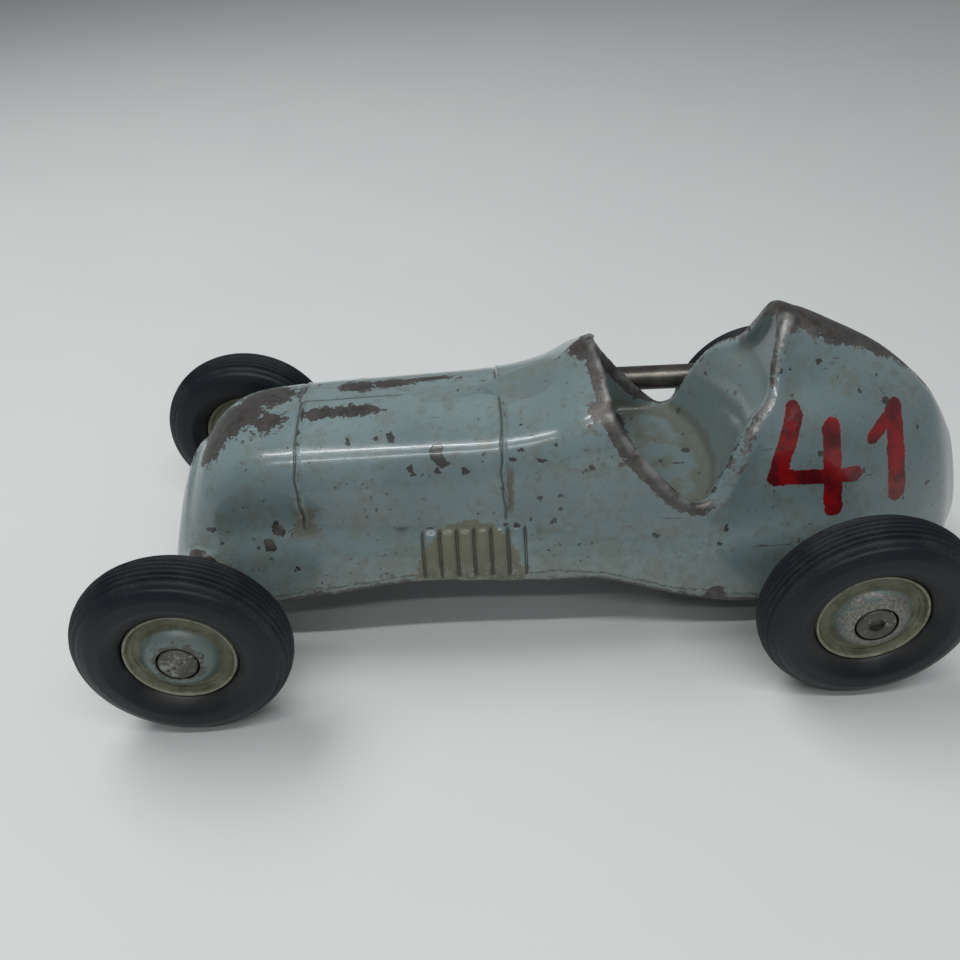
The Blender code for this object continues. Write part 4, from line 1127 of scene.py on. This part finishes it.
def make_hub_metal():
    """Outer halves: painted dome, olive-stained ring and a rubbed lip. Inner halves: olive all over."""
    hub = Finish("hub_metal")
    radius = hub.number("radius")
    across = hub.number("across")
    coarse = hub.grain(5, 4)
    ragged = hub.grain(1.8, 5, 0.6)
    fine = hub.grain(0.6, 4, 0.65)
    front = hub.axes()[0].between(-1, 1)
    olive = hub.mix((0.085, 0.088, 0.05), (0.15, 0.155, 0.1), coarse.between(0.35, 0.65))
    olive = hub.mix(olive, (0.065, 0.062, 0.042), (fine + ragged).between(1.05, 1.25) * 0.7)
    dome = radius.between(10.2, 9.2) * across.between(3.2, 3.8)
    paint = hub.mix((0.095, 0.13, 0.128), (0.13, 0.168, 0.155), coarse)
    worn = (ragged - 0.5) * 1.1 + radius.between(8.6, 5.6) * 0.27 + (1 - front) * 0.24
    bare = worn.between(0.2, 0.24) * dome
    metal = hub.mix((0.14, 0.135, 0.118), (0.3, 0.295, 0.27), fine.between(0.35, 0.65))
    metal = hub.mix(metal, (0.085, 0.08, 0.07), front * 0.75)
    painted = (radius + (ragged - 0.5) * 1.6).between(10.3, 9.5) * across.between(3.2, 3.8)
    colour = hub.mix(olive, paint, painted)
    colour = hub.mix(colour, metal, bare)
    lip = radius.between(13.5, 14.0) * across.between(4.1, 4.4) * ragged.between(0.3, 0.55)
    colour = hub.mix(colour, (0.3, 0.3, 0.23), lip * 0.8)
    pits = (hub.cells(1.5, where=hub.torn(1.0, 1.2)) + (coarse - 0.5) * 0.3).between(0.14, 0.1)
    colour = hub.mix(colour, (0.04, 0.038, 0.03), pits * 0.8)
    # Painted shade: the narrow gap and recess round the screw head are painted near-black.
    gap = radius.between(5.75, 5.5) * across.between(3, 4)
    colour = hub.mix(colour, (0.012, 0.012, 0.012), gap)
    rough = 0.52 - dome * 0.24 * (1 - bare) + ragged * 0.12
    metallic = (bare * 0.7).larger(lip * 0.4)
    relief = hub.bump(fine * 0.5 + ragged * 0.5 + bare * -0.6, 0.16, 0.5)
    return hub.coat(Base_Color=colour, Roughness=rough, Metallic=metallic, Normal=relief)


def make_steel(name, dark, light, rough=0.38, metallic=0.9, flakes=0.0, size=2.0):
    """Oxidised steel: mottled, with rubbed bands and, where flakes is set, scraps of old paint."""
    steel = Finish(name)
    coarse = steel.grain(size * 3, 4)
    ragged = steel.grain(size, 5, 0.6)
    fine = steel.grain(0.5, 3, 0.6)
    drawn = steel.node("ShaderNodeTexNoise", None, {
        "Vector": steel.stretched((0.03, 1, 1)), "Scale": 900.0, "Detail": 3.0})
    colour = steel.mix(dark, light, coarse.between(0.3, 0.7))
    colour = steel.mix(colour, (0.09, 0.05, 0.028), (ragged * coarse).between(0.3, 0.42) * 0.5)
    scraps = (ragged + (coarse - 0.5) * 0.5).between(0.56, 0.59) * flakes
    colour = steel.mix(colour, (0.25, 0.27, 0.25), scraps)
    level = rough + ragged * 0.2 + scraps * 0.1 - 0.08
    relief = steel.bump(drawn * 0.4 + fine * 0.4 + scraps, 0.08, 0.4)
    return steel.coat(Base_Color=colour, Roughness=level, Metallic=metallic * (1 - scraps), Normal=relief)


RUBBER = make_rubber()
HUB_METAL = make_hub_metal()
AXLE_STEEL = make_steel("axle_steel", (0.2, 0.19, 0.175), (0.42, 0.41, 0.39), 0.32)
SCREW_STEEL = make_steel("screw_steel", (0.075, 0.07, 0.062), (0.14, 0.135, 0.12), 0.45, 0.7, 0.85, 1.6)
PIPE_STEEL = make_steel("pipe_steel", (0.11, 0.1, 0.09), (0.2, 0.185, 0.165), 0.33, 0.92)
CLIP_STEEL = make_steel("clip_steel", (0.16, 0.155, 0.145), (0.33, 0.32, 0.3), 0.4, 0.85)
BRONZE = make_steel("bush_bronze", (0.2, 0.12, 0.05), (0.42, 0.27, 0.12), 0.35, 0.95)


def make_wheel(label, centre):
    side = 1 if centre.y > 0 else -1
    front = label.startswith("front")
    body_name = f"{label}_wheel" if front else "rear_wheels"
    tyre = turned(f"{label}_balloon_tyre", outward(tyre_profile(), side), centre, 128)
    outer = turned(f"{label}_domed_hub", outward(outer_profile(), side), centre)
    inner = turned(f"{label}_stepped_hub", outward(inner_profile(), side), centre)
    screw = hub_screw(f"{label}_hub_screw", centre, side, front)
    pieces = (
        ("tyre", tyre, RUBBER, "tyre_rubber"),
        ("hub_outer", outer, HUB_METAL, "hub_metal"),
        ("hub_inner", inner, HUB_METAL, "hub_metal"),
        ("axle_screw", screw, SCREW_STEEL, "screw_steel"),
    )
    for node, piece, finish, slot in pieces:
        note_wheel(piece, centre, side)
        rides = "chassis" if front and node == "axle_screw" else body_name
        keep(piece, finish, rides, [f"{label}_{node}"], 35)


def sleeve(name, node, bore, radius, finish, flange=None):
    """A tube on an axle, with broken edges and, on a bush, its flange."""
    low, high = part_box(node)
    centre = Vector(((low.x + high.x) / 2, 0, (low.z + high.z) / 2))
    start, end = sorted((low.y / MM, high.y / MM), key=abs)
    if flange:
        inner = end - math.copysign(flange[1], end)
        profile = [(bore, start), (radius, start), (radius, inner), (flange[0], inner),
                   (flange[0], end), (bore, end)]
    else:
        profile = [(bore, start), (radius, start), (radius, end), (bore, end)]
    piece = turned(name, [(p.x, p.y) for p in rounded(profile, 0.25, 3)], centre, 48)
    keep(piece, finish, "chassis", [node], 35)


def make_axle(label, body_name):
    """A plain bar with chamfered, bored ends."""
    node = f"{label}_axle"
    low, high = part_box(node)
    centre = middle_of(node)
    reach = high.y / MM
    end = [(0, reach - 8), (1.6, reach - 8), (1.6, reach - 0.2), (1.8, reach), (2.2, reach)]
    end.append((AXLE_RADIUS, reach - 0.25))
    profile = end + [(r, -a) for r, a in reversed(end)]
    keep(turned(f"{label}_axle_bar", profile, centre, 48, closed=False), AXLE_STEEL, body_name, [node],
         35)


for label, centre in CENTRES.items():
    make_wheel(label, centre)
    sleeve(f"{label}_flanged_bush", f"{label}_bush", BORE, 4.2, BRONZE, flange=(5.6, 1.4))
    sleeve(f"{label}_spacer_tube", f"{label}_spacer", BORE, 3.9, PIPE_STEEL)
make_axle("front", "chassis")
make_axle("rear", "rear_wheels")


# ---------------------------------------------------------------- exhaust pipe and its clips


def make_pipe():
    path = pipe_path()
    pipe = bar("side_exhaust", path, PIPE_RADIUS * MM, 40)
    run = Vector(path[-1] - path[-2]).normalized()
    end = Vector(path[-1])
    cut(pipe, rod("bore", PIPE_BORE * MM, end - run * PIPE_BORE_DEPTH * MM, end + run * MM))
    keep(pipe, PIPE_STEEL, "chassis", ["exhaust_pipe"], 35)


def make_strap(label):
    """A sheet strap bent round the pipe, with a tab down the body's side."""
    low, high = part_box(f"{label}_pipe_clip")
    spacing = 0.9 * MM
    inner = (PIPE_RADIUS + 0.3) * MM
    centre_y = low.y + inner + spacing
    centre_z = high.z - inner - spacing
    line = [(high.y - spacing / 2, low.z + 0.2 * MM), (high.y - spacing / 2, centre_z - inner - spacing / 2)]
    turns = np.linspace(-math.pi / 2, 1.42 * math.pi, 40)
    middle = inner + spacing / 2
    line += [(centre_y + middle * math.cos(t), centre_z + middle * math.sin(t)) for t in turns]
    bm = bmesh.new()
    verts = [bm.verts.new((low.x, y, z)) for y, z in line]
    edges = [bm.edges.new(pair) for pair in zip(verts, verts[1:])]
    grown = bmesh.ops.extrude_edge_only(bm, edges=edges)["geom"]
    moved = [item for item in grown if isinstance(item, bmesh.types.BMVert)]
    bmesh.ops.translate(bm, verts=moved, vec=(high.x - low.x, 0, 0))
    strap = object_of(f"{label}_pipe_strap", bm)
    sheet = strap.modifiers.new("sheet", "SOLIDIFY")
    sheet.thickness = spacing
    sheet.offset = 0
    soft = strap.modifiers.new("edges", "BEVEL")
    soft.width = 0.18 * MM
    soft.segments = 2
    applied(strap)
    keep(strap, CLIP_STEEL, "chassis", [f"{label}_pipe_clip"], 35)


def make_strap_screw(label):
    """A domed, slotted screw through the strap's tab."""
    node = f"{label}_pipe_clip_screw"
    low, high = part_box(node)
    middle = middle_of(node)
    head = low.y / MM
    profile = [(0, head), (1.2, head + 0.18), (1.9, head + 0.6), (2.2, head + 1.1), (2.2, head + 1.3),
               (1.2, head + 1.3), (1.2, high.y / MM), (0, high.y / MM)]
    screw = turned(f"{label}_strap_screw", profile, (middle.x, 0, middle.z), 40, closed=False)
    cut(screw, slot((middle.x, low.y, middle.z), 6, 1.1, 0.6))
    keep(screw, CLIP_STEEL, "chassis", [node], 35)


make_pipe()
for label in ("front", "rear"):
    make_strap(label)
    make_strap_screw(label)


# ---------------------------------------------------------------- stage, light and camera


def make_floor():
    finish = Finish("pale_table")
    haze = finish.grain(150, 2)
    colour = finish.mix((0.575, 0.598, 0.594), (0.59, 0.61, 0.604), haze.between(0.3, 0.7))
    bm = bmesh.new()
    bmesh.ops.create_grid(bm, x_segments=2, y_segments=2, size=3)
    floor = object_of("floor", bm)
    floor.data.materials.append(finish.coat(Base_Color=colour, Roughness=0.55))


def soft_light(name, place, aim, size, power, mirrored=True):
    """A rectangular lamp; one that isn't mirrored lights without showing in glossy paint."""
    lamp = bpy.data.lights.new(name, "AREA")
    lamp.shape = "RECTANGLE"
    lamp.size, lamp.size_y = size
    lamp.energy = power
    obj = bpy.data.objects.new(name, lamp)
    bpy.context.scene.collection.objects.link(obj)
    obj.location = place
    obj.rotation_euler = (Vector(aim) - Vector(place)).to_track_quat("-Z", "Y").to_euler()
    obj.visible_glossy = mirrored


VIEW_FROM = (MIDDLE_X + 0.010357, 0.218479, 0.196875)
VIEW_AZIMUTH = 179.81
VIEW_ELEVATION = 36.05
VIEW_ROLL = -3.09
VIEW_LENS = 33.633


def make_camera():
    """The view from the car's left side, a little over one third of a right angle up."""
    camera = bpy.data.cameras.new("view")
    camera.lens = VIEW_LENS
    obj = bpy.data.objects.new("view", camera)
    bpy.context.scene.collection.objects.link(obj)
    round_car = Matrix.Rotation(math.radians(VIEW_AZIMUTH), 4, "Z")
    tilt = Matrix.Rotation(math.radians(90 - VIEW_ELEVATION), 4, "X")
    roll = Matrix.Rotation(math.radians(VIEW_ROLL), 4, "Z")
    obj.matrix_world = Matrix.Translation(VIEW_FROM) @ round_car @ tilt @ roll
    bpy.context.scene.camera = obj


make_floor()
make_camera()
centre = (0, 0, 0.04)
soft_light("ceiling", (0.5, -0.3, 1.05), centre, (0.8, 0.55), 8.3, mirrored=False)
soft_light("strip_high", (0.0, 0.4, 0.98), centre, (1.0, 0.03), 3.8)
soft_light("strip_low", (0.0, 0.65, 0.8), centre, (0.9, 0.02), 1.6)
world = bpy.data.worlds.new("room")
bpy.context.scene.world = world
world.use_nodes = True
background = world.node_tree.nodes["Background"]
background.inputs["Color"].default_value = (0.75, 0.78, 0.8, 1)
background.inputs["Strength"].default_value = 0.28
bpy.context.scene.view_settings.view_transform = "Standard"
